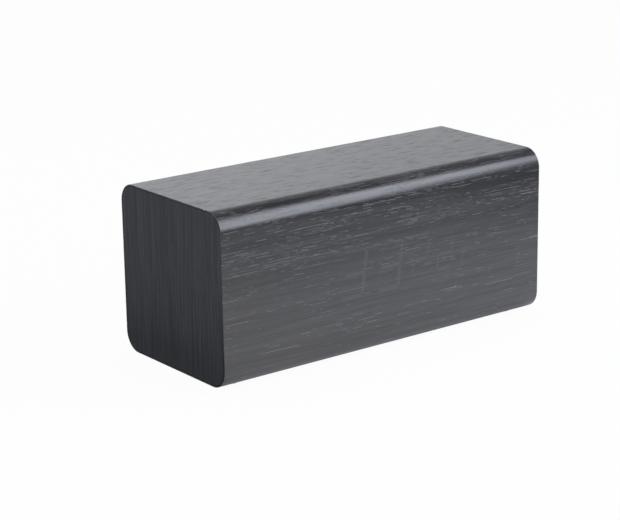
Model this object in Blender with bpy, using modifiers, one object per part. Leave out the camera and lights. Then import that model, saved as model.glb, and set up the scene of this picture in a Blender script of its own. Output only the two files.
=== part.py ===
"""Digital alarm clock: a veneered wooden block with a segment display behind its front veneer.

Metres, X across the front, the front facing -Y, Z up, the origin on the table under the block's centre.
"""

import math

import bmesh
import bpy
from mathutils import Euler, Vector

# Wooden block
BODY_WIDTH = 0.210
BODY_DEPTH = 0.089
BODY_HEIGHT = 0.090
EDGE_RADIUS = 0.0102
VENEER = 0.0006
VENEER_SEAM = 0.0004
END_VENEER_LINE = 0.0003
BOARD_THICKNESS = 0.012

# Clearances shared by all pieces
GAP = 0.0003
OVERRUN = 0.002
FUSE = 0.0004
WELD = 0.000001
SCREW_MERGE = 0.00001

# Pads under the block
PAD_RADIUS = 0.005
PAD_HEIGHT = 0.0008
PAD_INSET = 0.013

# Segment display, set in from the boards round it, each digit measured between the middles of its strokes
DISPLAY_LEFT_RIM = 0.0015
DISPLAY_RIGHT_RIM = 0.0047
DISPLAY_TOP_RIM = 0.0127
DISPLAY_BOTTOM_RIM = 0.0169
FILM_THICKNESS = 0.0005
MASK_THICKNESS = 0.0052
DIGIT_SLANT = math.radians(8.1)
DIGIT_DROP_SHARE = 0.0677
BIG_HEIGHT_SHARE = 0.706
BIG_WIDTH_SHARE = 0.078
BIG_PITCH_SHARE = 0.141
BIG_START_SHARE = -0.4113
BIG_STROKE = 0.0014
SMALL_HEIGHT_SHARE = 0.488
SMALL_WIDTH_SHARE = 0.053
SMALL_PITCH_SHARE = 0.1006
SMALL_START_SHARE = 0.1339
SMALL_STROKE = 0.0012
SEGMENT_LAND = 0.0005
LED_WIDTH = 0.0006
LED_HEIGHT = 0.0006
CIRCUIT_THICKNESS = 0.0016
DISPLAY_BOARD_SIDE = 0.005
DISPLAY_BOARD_RIM = 0.005
DISPLAY_SCREW_SIDE = 0.0025

# Plastic back plate, let into the rear board round an opening for its tray and controls
CONTROL_WIDTH = 0.05855
OPENING_SIDE_RIM = 0.00155
OPENING_RIM = 0.00185
PLATE_THICKNESS = 0.0025
PLATE_CORNER = 0.005
PLATE_RECESS = 0.002
PLATE_FLANGE = 0.0055
PLATE_FLANGE_SHARE = 0.487
OPENING_CORNER = 0.003
PLATE_SCREW_INSET = 0.0038

# Screws
SCREW_HEAD_RADIUS = 0.0023
SCREW_HEAD_HEIGHT = 0.0015
SCREW_SHANK_RADIUS = 0.0011
SCREW_POINT = 0.0012
PLATE_SCREW_LENGTH = 0.0085
DISPLAY_SCREW_LENGTH = 0.0065
BOARD_SCREW_LENGTH = 0.0065
SCREW_CROSS_LENGTH = 0.0026
SCREW_CROSS_WIDTH = 0.0006
SCREW_CROSS_DEPTH = 0.0008

# Battery bay and its cells
CELL_RADIUS = 0.00525
CELL_LENGTH = 0.0445
CELL_NUB_RADIUS = 0.0019
CELL_NUB_HEIGHT = 0.0009
CELL_EDGE = 0.0004
CELL_SPACING = 0.0006
BAY_WALL = 0.002
BAY_LEDGE = 0.0012
BAY_FLOOR = 0.0015
DOOR_THICKNESS = 0.0016
DOOR_CORNER = 0.002
CELL_DOOR_GAP = 0.0006
LATCH_WIDTH = 0.012
LATCH_DEPTH = 0.0075
LATCH_SLIT = 0.0008
RIB_PITCH = 0.0013
RIB_WIDTH = 0.0006
RIB_LENGTH = 0.009
RIB_RISE = 0.0004
TONGUE_WIDTH = 0.006
TONGUE_SPREAD = 0.034
TONGUE_REACH = 0.0018
TONGUE_THICKNESS = 0.0012
TONGUE_SWING = 0.0007

# Battery contacts
CONTACT_THICKNESS = 0.0004
CONTACT_WIDTH = 0.0082
DIMPLE_RADIUS = 0.0022
DIMPLE_HEIGHT = 0.0006
SPRING_LENGTH = 0.0038
SPRING_WIRE = 0.0003
SPRING_BASE_RADIUS = 0.0034
SPRING_TIP_RADIUS = 0.0018
SPRING_SEAT_SHARE = 0.4
TAG_WIDTH = 0.0024
TAG_REACH = 0.002
TAG_CLEARANCE = 0.0002

# Push buttons and their switches, placed from the opening's left edge
BUTTON_RADIUS = 0.004
BUTTON_PROUD = 0.0015
BUTTON_EDGE = 0.0005
BUTTON_FLANGE_RADIUS = 0.005
BUTTON_FLANGE = 0.001
BUTTON_STEM_RADIUS = 0.0015
BUTTON_STEM = 0.0007
BUTTON_PITCH = 0.014
BUTTON_OFFSET = 0.0425
BUTTON_RISE = 0.004
BUTTON_TRAVEL = 0.0006
MARK_SIZE = 0.0016
MARK_RISE = 0.0003
SWITCH_SIDE = 0.006
SWITCH_HEIGHT = 0.0035
PLUNGER_RADIUS = 0.0017
PLUNGER_DEPTH = 0.0012

# Alarm slide switch
KNOB_WIDTH = 0.0044
KNOB_HEIGHT = 0.0026
KNOB_PROUD = 0.0014
KNOB_TRAVEL = 0.002
KNOB_SHOULDER = 0.0008
KNOB_SHOULDER_RIM = 0.0007
KNOB_GROOVE = 0.0004
LEVER_SIDE = 0.0014
SLIDE_BODY_WIDTH = 0.0086
SLIDE_BODY_HEIGHT = 0.0046
SLIDE_BODY_DEPTH = 0.0042
SLIDE_WELL = 0.0028

# Main board, placed from the opening's left edge and the body's middle, and what stands on it:
# shares are of the board's width and height, from its middle
MAIN_BOARD_OFFSET = 0.0025
MAIN_BOARD_WIDTH = 0.052
MAIN_BOARD_HEIGHT = 0.030
MAIN_BOARD_DROP = -0.004
MAIN_BOARD_DEPTH = 0.0083
LOWER_ROW_DROP = -0.011
BOSS_RADIUS = 0.0025
BOSS_SHARES = ((-0.448, 0.333), (0.442, -0.367))
SOCKET_OFFSET = 0.0115
SOCKET_BODY_RADIUS = 0.0048
SOCKET_NOSE_RADIUS = 0.0038
SOCKET_BORE_RADIUS = 0.00285
SOCKET_PIN_RADIUS = 0.001
SOCKET_PIN_INSET = 0.0015
SOCKET_FLOOR = 0.002
SOCKET_INSET = 0.0004
BUZZER_OFFSET = 0.027
BUZZER_RADIUS = 0.006
BUZZER_PORT_RADIUS = 0.001
BUZZER_PORT_DEPTH = 0.0015
GRILLE_PITCH = 0.0024
GRILLE_HOLE_RADIUS = 0.0006
SLIDE_OFFSET = 0.043
MICROPHONE_OFFSET = 0.0513
MICROPHONE_RADIUS = 0.0025
MICROPHONE_LENGTH = 0.004
MICROPHONE_NECK_RADIUS = 0.0012
MICROPHONE_HOLE_RADIUS = 0.0007
CHIP_SIDE = 0.0090
CHIP_HEIGHT = 0.0014
CHIP_LEG_PITCH = 0.00127
CHIP_LEG_WIDTH = 0.0004
CHIP_LEG_REACH = 0.0012
CHIP_LEG_HEIGHT = 0.0005
CHIP_SHARES = (0.077, 0.2)
DRIVER_CHIP_CLEARANCE = 0.0095
CRYSTAL_WIDTH = 0.011
CRYSTAL_HEIGHT = 0.0045
CRYSTAL_DEPTH = 0.0035
CRYSTAL_SHARES = (0.096, -0.283)
CAPACITOR_RADIUS = 0.0025
CAPACITOR_LENGTH = 0.007
CAPACITOR_EDGE = 0.0003
CAPACITOR_CRIMP = 0.0003
CAPACITOR_CRIMP_RISE = 0.0018
CAPACITOR_SHARES = (0.365, 0)

# Ribbon and leads, placed from the opening's left edge
RIBBON_WIDTH = 0.010
RIBBON_THICKNESS = 0.0008
RIBBON_OFFSET = 0.0145
RIBBON_SAG = 0.012
LEAD_RADIUS = 0.0006
LEAD_OFFSET = 0.0515
LEAD_SPREAD = 0.012
LEAD_DROP = 0.0035

# Facets, counts and the angle past which an edge stays sharp
SHARP_ANGLE = math.radians(35)
ARC_STEPS = 12
CORNER_STEPS = 5
ROUND_STEPS = 20
SMALL_ROUND_STEPS = 12
CURL_POINTS = 9
SPRING_TURNS = 3
LEAD_POINTS = 26
RIBBON_POINTS = 16
CHIP_LEGS = 6
CELL_COUNT = 3
GRILLE_HOLES = 6
DIGITS_IN_A_ROW = 4
TRIANGLE_CORNERS = 3
RIB_COUNT = 4

# Levels that follow from the sizes above
SKIN = VENEER + GAP
BODY_BASE = PAD_HEIGHT + GAP
BODY_MIDDLE = BODY_BASE + BODY_HEIGHT / 2
REAR = BODY_DEPTH / 2
BOARD_END = BODY_WIDTH / 2 - SKIN
BOARD_FACE = BODY_DEPTH / 2 - SKIN
BOARD_HALF_HEIGHT = BODY_HEIGHT / 2 - SKIN
INNER_HALF_HEIGHT = BOARD_HALF_HEIGHT - BOARD_THICKNESS - GAP
PLATE_FACE = REAR - PLATE_RECESS
PLATE_BACK = PLATE_FACE - PLATE_THICKNESS
PLATE_SEAT = PLATE_BACK - GAP
FLAT_REACH = GAP + CONTACT_THICKNESS + DIMPLE_HEIGHT + GAP
SPRING_REACH = GAP + CONTACT_THICKNESS + SPRING_LENGTH + GAP
BAY_LENGTH = CELL_LENGTH + FLAT_REACH + SPRING_REACH
CELL_PITCH = 2 * CELL_RADIUS + CELL_SPACING
BAY_HEIGHT = CELL_COUNT * CELL_PITCH
OPENING_WIDTH = CONTROL_WIDTH + BAY_LENGTH + 2 * BAY_WALL + OPENING_SIDE_RIM
OPENING_HEIGHT = BAY_HEIGHT + 2 * BAY_WALL + 2 * OPENING_RIM
OPENING_LEFT = -OPENING_WIDTH / 2
BAY_CENTRE = OPENING_WIDTH / 2 - OPENING_SIDE_RIM - BAY_WALL - BAY_LENGTH / 2
PLATE_WIDTH = OPENING_WIDTH + 2 * PLATE_FLANGE
PLATE_HEIGHT = OPENING_HEIGHT + (2 * INNER_HALF_HEIGHT - OPENING_HEIGHT) * PLATE_FLANGE_SHARE
BUTTON_START = OPENING_LEFT + BUTTON_OFFSET
SOCKET_PLACE = OPENING_LEFT + SOCKET_OFFSET
BUZZER_PLACE = OPENING_LEFT + BUZZER_OFFSET
SLIDE_PLACE = OPENING_LEFT + SLIDE_OFFSET
MICROPHONE_PLACE = OPENING_LEFT + MICROPHONE_OFFSET
RIBBON_PLACE = OPENING_LEFT + RIBBON_OFFSET
LEAD_PLACE = OPENING_LEFT + LEAD_OFFSET
LEDGE_LEVEL = PLATE_FACE - DOOR_THICKNESS - GAP
CELL_LEVEL = PLATE_FACE - DOOR_THICKNESS - CELL_DOOR_GAP - CELL_RADIUS
BAY_FLOOR_LEVEL = CELL_LEVEL - CELL_RADIUS - GAP
DOOR_WIDTH = BAY_LENGTH + 2 * BAY_LEDGE - 2 * GAP
DOOR_HEIGHT = BAY_HEIGHT + 2 * BAY_LEDGE - 2 * GAP
MAIN_BOARD_LEVEL = PLATE_BACK - MAIN_BOARD_DEPTH
PART_LEVEL = MAIN_BOARD_LEVEL + GAP
INNER_PART_LEVEL = MAIN_BOARD_LEVEL - CIRCUIT_THICKNESS - GAP
LOWER_ROW = BODY_MIDDLE + LOWER_ROW_DROP
BUTTON_ROW = BODY_MIDDLE + BUTTON_RISE
FILM_FACE = -BOARD_FACE
MASK_FACE = FILM_FACE + FILM_THICKNESS + GAP
CIRCUIT_FACE = MASK_FACE + MASK_THICKNESS + GAP
CIRCUIT_BACK = CIRCUIT_FACE + CIRCUIT_THICKNESS
DISPLAY_REACH = BOARD_END - BOARD_THICKNESS - DISPLAY_BOARD_SIDE
DISPLAY_WIDTH = 2 * DISPLAY_REACH - DISPLAY_LEFT_RIM - DISPLAY_RIGHT_RIM
DISPLAY_SHIFT = (DISPLAY_LEFT_RIM - DISPLAY_RIGHT_RIM) / 2
DISPLAY_HEIGHT = 2 * INNER_HALF_HEIGHT - DISPLAY_TOP_RIM - DISPLAY_BOTTOM_RIM
DISPLAY_MIDDLE = BODY_MIDDLE + (DISPLAY_BOTTOM_RIM - DISPLAY_TOP_RIM) / 2
DIGIT_MIDDLE = DISPLAY_MIDDLE - DISPLAY_HEIGHT * DIGIT_DROP_SHARE
PILOT_RADIUS = SCREW_SHANK_RADIUS + GAP

# Turns that lay a flat outline's depth along X or along Y
ALONG_X = Euler((math.pi / 2, 0, math.pi / 2))
ALONG_Y = Euler((math.pi / 2, 0, 0))
FACING_REAR = Euler((-math.pi / 2, 0, 0))
FACING_FRONT = Euler((math.pi / 2, 0, 0))
FACING_RIGHT = Euler((0, math.pi / 2, 0))
FACING_LEFT = Euler((0, -math.pi / 2, 0))

# Finishes: colour, roughness and metallic value
FINISHES = {
    "veneer": ((0.045, 0.046, 0.052), 0.45, 0.0),
    "fibreboard": ((0.36, 0.25, 0.16), 0.85, 0.0),
    "pad": ((0.02, 0.02, 0.02), 0.9, 0.0),
    "black_plastic": ((0.022, 0.022, 0.024), 0.5, 0.0),
    "dark_plastic": ((0.05, 0.05, 0.055), 0.55, 0.0),
    "film": ((0.75, 0.75, 0.73), 0.6, 0.0),
    "circuit": ((0.03, 0.16, 0.07), 0.45, 0.0),
    "steel": ((0.55, 0.55, 0.56), 0.35, 1.0),
    "nickel": ((0.68, 0.66, 0.60), 0.3, 1.0),
    "cell_jacket": ((0.10, 0.13, 0.20), 0.3, 0.0),
    "chip": ((0.025, 0.025, 0.027), 0.6, 0.0),
    "capacitor_sleeve": ((0.05, 0.08, 0.16), 0.35, 0.0),
    "ribbon": ((0.42, 0.43, 0.45), 0.5, 0.0),
    "red_lead": ((0.45, 0.03, 0.03), 0.45, 0.0),
    "black_lead": ((0.02, 0.02, 0.02), 0.45, 0.0),
}


def clear_scene():
    """Remove what a new file holds and make the two collections."""
    for obj in list(bpy.data.objects):
        bpy.data.objects.remove(obj, do_unlink=True)
    for name in ("digital_alarm_clock", "cutters"):
        collection = bpy.data.collections.new(name)
        bpy.context.scene.collection.children.link(collection)


def finish(obj, finish_name):
    """Put the piece in the clock's collection with a material of its own."""
    colour, roughness, metallic = FINISHES[finish_name]
    material = bpy.data.materials.new(obj.name + "_" + finish_name)
    material.use_nodes = True
    shader = material.node_tree.nodes["Principled BSDF"]
    shader.inputs["Base Color"].default_value = (*colour, 1.0)
    shader.inputs["Roughness"].default_value = roughness
    shader.inputs["Metallic"].default_value = metallic
    obj.data.materials.append(material)
    bpy.data.collections["digital_alarm_clock"].objects.link(obj)
    return obj


def as_cutter(obj):
    """Keep a shape as a tool for a Boolean modifier, out of the finished clock."""
    obj.hide_render = True
    obj.display_type = "WIRE"
    bpy.data.collections["cutters"].objects.link(obj)
    return obj


def combine(obj, tool, operation):
    """Cut the tool from the piece, or fuse it on."""
    as_cutter(tool)
    modifier = obj.modifiers.new(operation.lower(), "BOOLEAN")
    modifier.operation = operation
    modifier.solver = "EXACT"
    modifier.object = tool
    return obj


def cut(obj, tool):
    """Cut the tool's shape out of the piece."""
    return combine(obj, tool, "DIFFERENCE")


def fuse(obj, tool):
    """Fuse the tool's shape to the piece."""
    return combine(obj, tool, "UNION")


def boxes(name, corner_pairs):
    """One object of separate boxes, each given by its low and high corners."""
    shape = bmesh.new()
    first_low, first_high = corner_pairs[0]
    origin = (Vector(first_low) + Vector(first_high)) / 2
    for low, high in corner_pairs:
        size = Vector(high) - Vector(low)
        centre = (Vector(low) + Vector(high)) / 2 - origin
        made = bmesh.ops.create_cube(shape, size=1)
        bmesh.ops.scale(shape, vec=size, verts=made["verts"])
        bmesh.ops.translate(shape, vec=centre, verts=made["verts"])
    mesh = bpy.data.meshes.new(name)
    shape.to_mesh(mesh)
    shape.free()
    obj = bpy.data.objects.new(name, mesh)
    obj.location = origin
    return obj


def box(name, low, high):
    """One box between two corners."""
    return boxes(name, [(low, high)])


def rod(name, radius, length, centre, turn, steps=SMALL_ROUND_STEPS):
    """A plain cylinder, its length along the turned Z."""
    shape = bmesh.new()
    bmesh.ops.create_cone(
        shape, cap_ends=True, segments=steps, radius1=radius, radius2=radius, depth=length
    )
    mesh = bpy.data.meshes.new(name)
    shape.to_mesh(mesh)
    shape.free()
    obj = bpy.data.objects.new(name, mesh)
    obj.location = centre
    obj.rotation_euler = turn
    return obj


def smooth(obj):
    """Shade round faces smooth and keep sharp edges sharp."""
    obj.data.shade_smooth()
    obj.data.set_sharp_from_angle(angle=SHARP_ANGLE)
    return obj


def filleted(corners, steps=CORNER_STEPS):
    """Outline points from corners (x, y, radius), each arc in equal steps."""
    points = []
    for index, (x, y, radius) in enumerate(corners):
        here = Vector((x, y))
        if radius <= 0:
            points.append((x, y))
            continue
        before = (Vector(corners[index - 1][:2]) - here).normalized()
        after = (Vector(corners[(index + 1) % len(corners)][:2]) - here).normalized()
        half_angle = before.angle(after) / 2
        centre = here + (before + after).normalized() * (radius / math.sin(half_angle))
        start = here + before * (radius / math.tan(half_angle)) - centre
        end = here + after * (radius / math.tan(half_angle)) - centre
        sweep = math.atan2(start.x * end.y - start.y * end.x, start.dot(end))
        for step in range(steps + 1):
            angle = sweep * step / steps
            turned = Vector((
                start.x * math.cos(angle) - start.y * math.sin(angle),
                start.x * math.sin(angle) + start.y * math.cos(angle),
            ))
            points.append(tuple(centre + turned))
    return points


def rectangle(width, height, radius=0, x=0, y=0, steps=CORNER_STEPS):
    """A rectangle about (x, y), its corners rounded."""
    right = width / 2
    top = height / 2
    signs = ((1, -1), (1, 1), (-1, 1), (-1, -1))
    return filleted([(x + side * right, y + rise * top, radius) for side, rise in signs], steps)


def circle(x, y, radius, steps=SMALL_ROUND_STEPS, phase=0):
    """A circle as a ring of points, the first at the phase angle."""
    turns = [phase + 2 * math.pi * step / steps for step in range(steps)]
    return [(x + radius * math.cos(turn), y + radius * math.sin(turn)) for turn in turns]


def as_mesh(curve_object):
    """The curve's shape as a welded mesh in a new object at the same place."""
    bpy.context.scene.collection.objects.link(curve_object)
    bpy.context.view_layer.update()
    evaluated = curve_object.evaluated_get(bpy.context.evaluated_depsgraph_get())
    mesh = bpy.data.meshes.new_from_object(evaluated)
    shape = bmesh.new()
    shape.from_mesh(mesh)
    bmesh.ops.remove_doubles(shape, verts=shape.verts, dist=WELD)
    bmesh.ops.recalc_face_normals(shape, faces=shape.faces)
    shape.to_mesh(mesh)
    shape.free()
    obj = bpy.data.objects.new(curve_object.name, mesh)
    obj.matrix_world = curve_object.matrix_world
    name = curve_object.name
    bpy.data.objects.remove(curve_object, do_unlink=True)
    obj.name = name
    return obj


def prism(name, loops, depth, centre, turn):
    """A flat outline with any holes, as thick as depth about its centre."""
    curve = bpy.data.curves.new(name, "CURVE")
    curve.dimensions = "2D"
    curve.fill_mode = "BOTH"
    curve.extrude = depth / 2
    for loop in loops:
        spline = curve.splines.new("POLY")
        spline.points.add(len(loop) - 1)
        for point, (x, y) in zip(spline.points, loop):
            point.co = (x, y, 0, 1)
        spline.use_cyclic_u = True
    obj = bpy.data.objects.new(name, curve)
    obj.location = centre
    obj.rotation_euler = turn
    return as_mesh(obj)


def turned(name, profile, centre, turn, steps=ROUND_STEPS):
    """A turned piece from (radius, height) points that run down its outer side."""
    mesh = bpy.data.meshes.new(name)
    edges = [(index, index + 1) for index in range(len(profile) - 1)]
    mesh.from_pydata([(radius, 0, height) for radius, height in profile], edges, [])
    obj = bpy.data.objects.new(name, mesh)
    obj.location = centre
    obj.rotation_euler = turn
    screw = obj.modifiers.new("turn", "SCREW")
    screw.axis = "Z"
    screw.angle = 2 * math.pi
    screw.steps = steps
    screw.render_steps = steps
    screw.use_merge_vertices = True
    screw.merge_threshold = SCREW_MERGE
    screw.use_smooth_shade = False
    return obj


def tube(name, points, radius, resolution):
    """A round wire along the points, with filled ends."""
    curve = bpy.data.curves.new(name, "CURVE")
    curve.dimensions = "3D"
    curve.bevel_depth = radius
    curve.bevel_resolution = resolution
    curve.use_fill_caps = True
    spline = curve.splines.new("POLY")
    spline.points.add(len(points) - 1)
    for point, place in zip(spline.points, points):
        point.co = (*place, 1)
    obj = bpy.data.objects.new(name, curve)
    return as_mesh(obj)


def smooth_route(knots, count):
    """Points at even parameter steps on a smooth curve through the knots."""
    ends = [2 * knots[0] - knots[1]] + knots + [2 * knots[-1] - knots[-2]]
    spans = len(knots) - 1
    points = []
    for index in range(count):
        place = spans * index / (count - 1)
        span = min(int(place), spans - 1)
        t = place - span
        before, start, end, after = ends[span:span + 4]
        points.append(
            (start * 2 + (end - before) * t
             + (before * 2 - start * 5 + end * 4 - after) * t ** 2
             + (start * 3 - before - end * 3 + after) * t ** 3) / 2
        )
    return points


def add_boards():
    """Six fibreboard pieces: top and bottom over the front and rear, with the ends let in between."""
    radius = EDGE_RADIUS - SKIN
    length = 2 * BOARD_END
    half = BOARD_THICKNESS / 2
    for name, side in (("top_board", 1), ("bottom_board", -1)):
        outline = filleted([
            (-BOARD_FACE, -side * half, 0),
            (BOARD_FACE, -side * half, 0),
            (BOARD_FACE, side * half, radius),
            (-BOARD_FACE, side * half, radius),
        ], ARC_STEPS)
        rise = BODY_MIDDLE + side * (BOARD_HALF_HEIGHT - half)
        finish(smooth(prism(name, [outline], length, (0, 0, rise), ALONG_X)), "fibreboard")
    for name, side in (("left_end_board", -1), ("right_end_board", 1)):
        outer = side * BOARD_END
        inner = side * (BOARD_END - BOARD_THICKNESS)
        reach = BOARD_FACE - BOARD_THICKNESS - GAP
        low = (min(outer, inner), -reach, BODY_MIDDLE - INNER_HALF_HEIGHT)
        high = (max(outer, inner), reach, BODY_MIDDLE + INNER_HALF_HEIGHT)
        finish(box(name, low, high), "fibreboard")
    add_front_board(length)
    add_rear_board(length)


def add_front_board(length):
    """Front board with the display's window and, behind it, the circuit board's rebate."""
    middle = (0, -BOARD_FACE + BOARD_THICKNESS / 2, BODY_MIDDLE)
    window_rise = DISPLAY_MIDDLE - BODY_MIDDLE
    window = rectangle(DISPLAY_WIDTH + 2 * GAP, DISPLAY_HEIGHT + 2 * GAP, 0, DISPLAY_SHIFT, window_rise)
    panel = rectangle(length, 2 * INNER_HALF_HEIGHT)
    board = prism("front_board", [panel, window], BOARD_THICKNESS, middle, ALONG_Y)
    half_width = DISPLAY_WIDTH / 2 + DISPLAY_BOARD_SIDE + GAP
    half_height = DISPLAY_HEIGHT / 2 + DISPLAY_BOARD_RIM + GAP
    low = (DISPLAY_SHIFT - half_width, CIRCUIT_FACE - GAP, DISPLAY_MIDDLE - half_height)
    high = (DISPLAY_SHIFT + half_width, -BOARD_FACE + BOARD_THICKNESS + OVERRUN, DISPLAY_MIDDLE + half_height)
    cut(board, box("display_rebate_cutter", low, high))
    for index, (x, z) in enumerate(display_screw_places()):
        depth = DISPLAY_SCREW_LENGTH
        centre = (x, CIRCUIT_BACK + GAP - depth / 2, z)
        cut(board, rod(f"display_pilot_cutter_{index}", PILOT_RADIUS, depth + 2 * GAP, centre, ALONG_Y))
    finish(board, "fibreboard")


def add_rear_board(length):
    """Rear board with the back plate's rebate and the opening that its tray passes through."""
    middle = (0, BOARD_FACE - BOARD_THICKNESS / 2, BODY_MIDDLE)
    panel = rectangle(length, 2 * INNER_HALF_HEIGHT)
    opening = rectangle(OPENING_WIDTH, OPENING_HEIGHT, OPENING_CORNER)
    board = prism("rear_board", [panel, opening], BOARD_THICKNESS, middle, ALONG_Y)
    depth = BOARD_FACE - PLATE_SEAT + OVERRUN
    cut(board, plate_pocket("plate_rebate_cutter", depth, PLATE_SEAT + depth / 2))
    for index, (x, z) in enumerate(plate_screw_places()):
        depth = PLATE_SCREW_LENGTH + 2 * GAP
        centre = (x, PLATE_FACE + GAP - depth / 2, z)
        cut(board, rod(f"plate_pilot_cutter_{index}", PILOT_RADIUS, depth, centre, ALONG_Y))
    finish(board, "fibreboard")


def plate_pocket(name, depth, level):
    """The back plate's outline with its clearance, as a cutter."""
    outline = rectangle(PLATE_WIDTH + 2 * GAP, PLATE_HEIGHT + 2 * GAP, PLATE_CORNER + GAP)
    return prism(name, [outline], depth, (0, level, BODY_MIDDLE), ALONG_Y)


def add_veneers():
    """One veneer wrapped round the four long faces, seamed underneath, and two let-in end veneers."""
    depth = BODY_DEPTH / 2
    height = BODY_HEIGHT / 2
    radius = EDGE_RADIUS
    inner_depth = depth - VENEER
    inner_height = height - VENEER
    inner_radius = radius - VENEER
    seam = VENEER_SEAM / 2
    outline = filleted([
        (seam, -height, 0),
        (depth, -height, radius),
        (depth, height, radius),
        (-depth, height, radius),
        (-depth, -height, radius),
        (-seam, -height, 0),
        (-seam, -inner_height, 0),
        (-inner_depth, -inner_height, inner_radius),
        (-inner_depth, inner_height, inner_radius),
        (inner_depth, inner_height, inner_radius),
        (inner_depth, -inner_height, inner_radius),
        (seam, -inner_height, 0),
    ], ARC_STEPS)
    wrap = prism("veneer_wrap", [outline], BODY_WIDTH, (0, 0, BODY_MIDDLE), ALONG_X)
    cut(wrap, plate_pocket("veneer_opening_cutter", 2 * OVERRUN, REAR))
    finish(smooth(wrap), "veneer")
    margin = VENEER + END_VENEER_LINE
    end_depth = BODY_DEPTH - 2 * margin
    end_height = BODY_HEIGHT - 2 * margin
    end_outline = rectangle(end_depth, end_height, radius - margin, steps=ARC_STEPS)
    for name, side in (("left_end_veneer", -1), ("right_end_veneer", 1)):
        centre = (side * (BODY_WIDTH - VENEER) / 2, 0, BODY_MIDDLE)
        finish(smooth(prism(name, [end_outline], VENEER, centre, ALONG_X)), "veneer")


def add_pads():
    """Four thin round pads under the corners of the flat underside."""
    for row, across in (("front", -1), ("rear", 1)):
        for side, along in (("left", -1), ("right", 1)):
            x = along * (BODY_WIDTH / 2 - PAD_INSET)
            y = across * (BODY_DEPTH / 2 - EDGE_RADIUS - PAD_RADIUS)
            centre = (x, y, PAD_HEIGHT / 2)
            pad = rod(f"pad_{row}_{side}", PAD_RADIUS, PAD_HEIGHT, centre, Euler(), ROUND_STEPS)
            finish(smooth(pad), "pad")


def slanted(x, z, middle_x):
    """A point of a digit, leaned to the right about the digits' middle line."""
    return (middle_x + x + z * math.tan(DIGIT_SLANT), z)


def segment_bars(width, height, stroke):
    """The seven bars of a digit: middle point, half length across or up, and half stroke."""
    half_width = width / 2
    half_height = height / 2
    across = half_width - SEGMENT_LAND / 2
    up = half_height / 2 - SEGMENT_LAND / 2
    bars = [(0, level * half_height, across, 0) for level in (-1, 0, 1)]
    for side in (-1, 1):
        for level in (-1, 1):
            bars.append((side * half_width, level * half_height / 2, 0, up))
    return [(x, z, along, rise, stroke / 2) for x, z, along, rise in bars]


def bar_outline(bar, middle_x):
    """A bar with pointed ends, as six slanted points."""
    x, z, along, rise, half_stroke = bar
    if along:
        inner = along - half_stroke
        corners = (
            (-along, 0), (-inner, -half_stroke), (inner, -half_stroke),
            (along, 0), (inner, half_stroke), (-inner, half_stroke),
        )
    else:
        inner = rise - half_stroke
        corners = (
            (0, -rise), (half_stroke, -inner), (half_stroke, inner),
            (0, rise), (-half_stroke, inner), (-half_stroke, -inner),
        )
    return [slanted(x + dx, z + dz, middle_x) for dx, dz in corners]


def display_marks():
    """Outlines and middle points of all bars and colon dots, about the digits' middle line."""
    outlines = []
    middles = []
    rows = (
        (BIG_START_SHARE, BIG_PITCH_SHARE, BIG_WIDTH_SHARE, BIG_HEIGHT_SHARE, BIG_STROKE),
        (SMALL_START_SHARE, SMALL_PITCH_SHARE, SMALL_WIDTH_SHARE, SMALL_HEIGHT_SHARE, SMALL_STROKE),
    )
    for start_share, pitch_share, width_share, height_share, stroke in rows:
        start = DISPLAY_SHIFT + DISPLAY_WIDTH * start_share
        pitch = DISPLAY_WIDTH * pitch_share
        width = DISPLAY_WIDTH * width_share
        height = DISPLAY_HEIGHT * height_share
        for place in range(DIGITS_IN_A_ROW):
            middle_x = start + place * pitch
            for bar in segment_bars(width, height, stroke):
                outlines.append(bar_outline(bar, middle_x))
                middles.append(slanted(bar[0], bar[1], middle_x))
        colon_x = start + pitch + pitch / 2
        for side in (-1, 1):
            dot = slanted(0, side * height / 4, colon_x)
            outlines.append(rectangle(stroke, stroke, 0, dot[0], dot[1]))
            middles.append(dot)
    return outlines, middles


def display_screw_places():
    """The four corners where the display's board is screwed to the front board."""
    x = DISPLAY_WIDTH / 2 + DISPLAY_SCREW_SIDE
    z = DISPLAY_HEIGHT / 2 + DISPLAY_SCREW_SIDE
    signs = ((-1, -1), (-1, 1), (1, -1), (1, 1))
    return [(DISPLAY_SHIFT + side * x, DISPLAY_MIDDLE + rise * z) for side, rise in signs]


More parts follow.
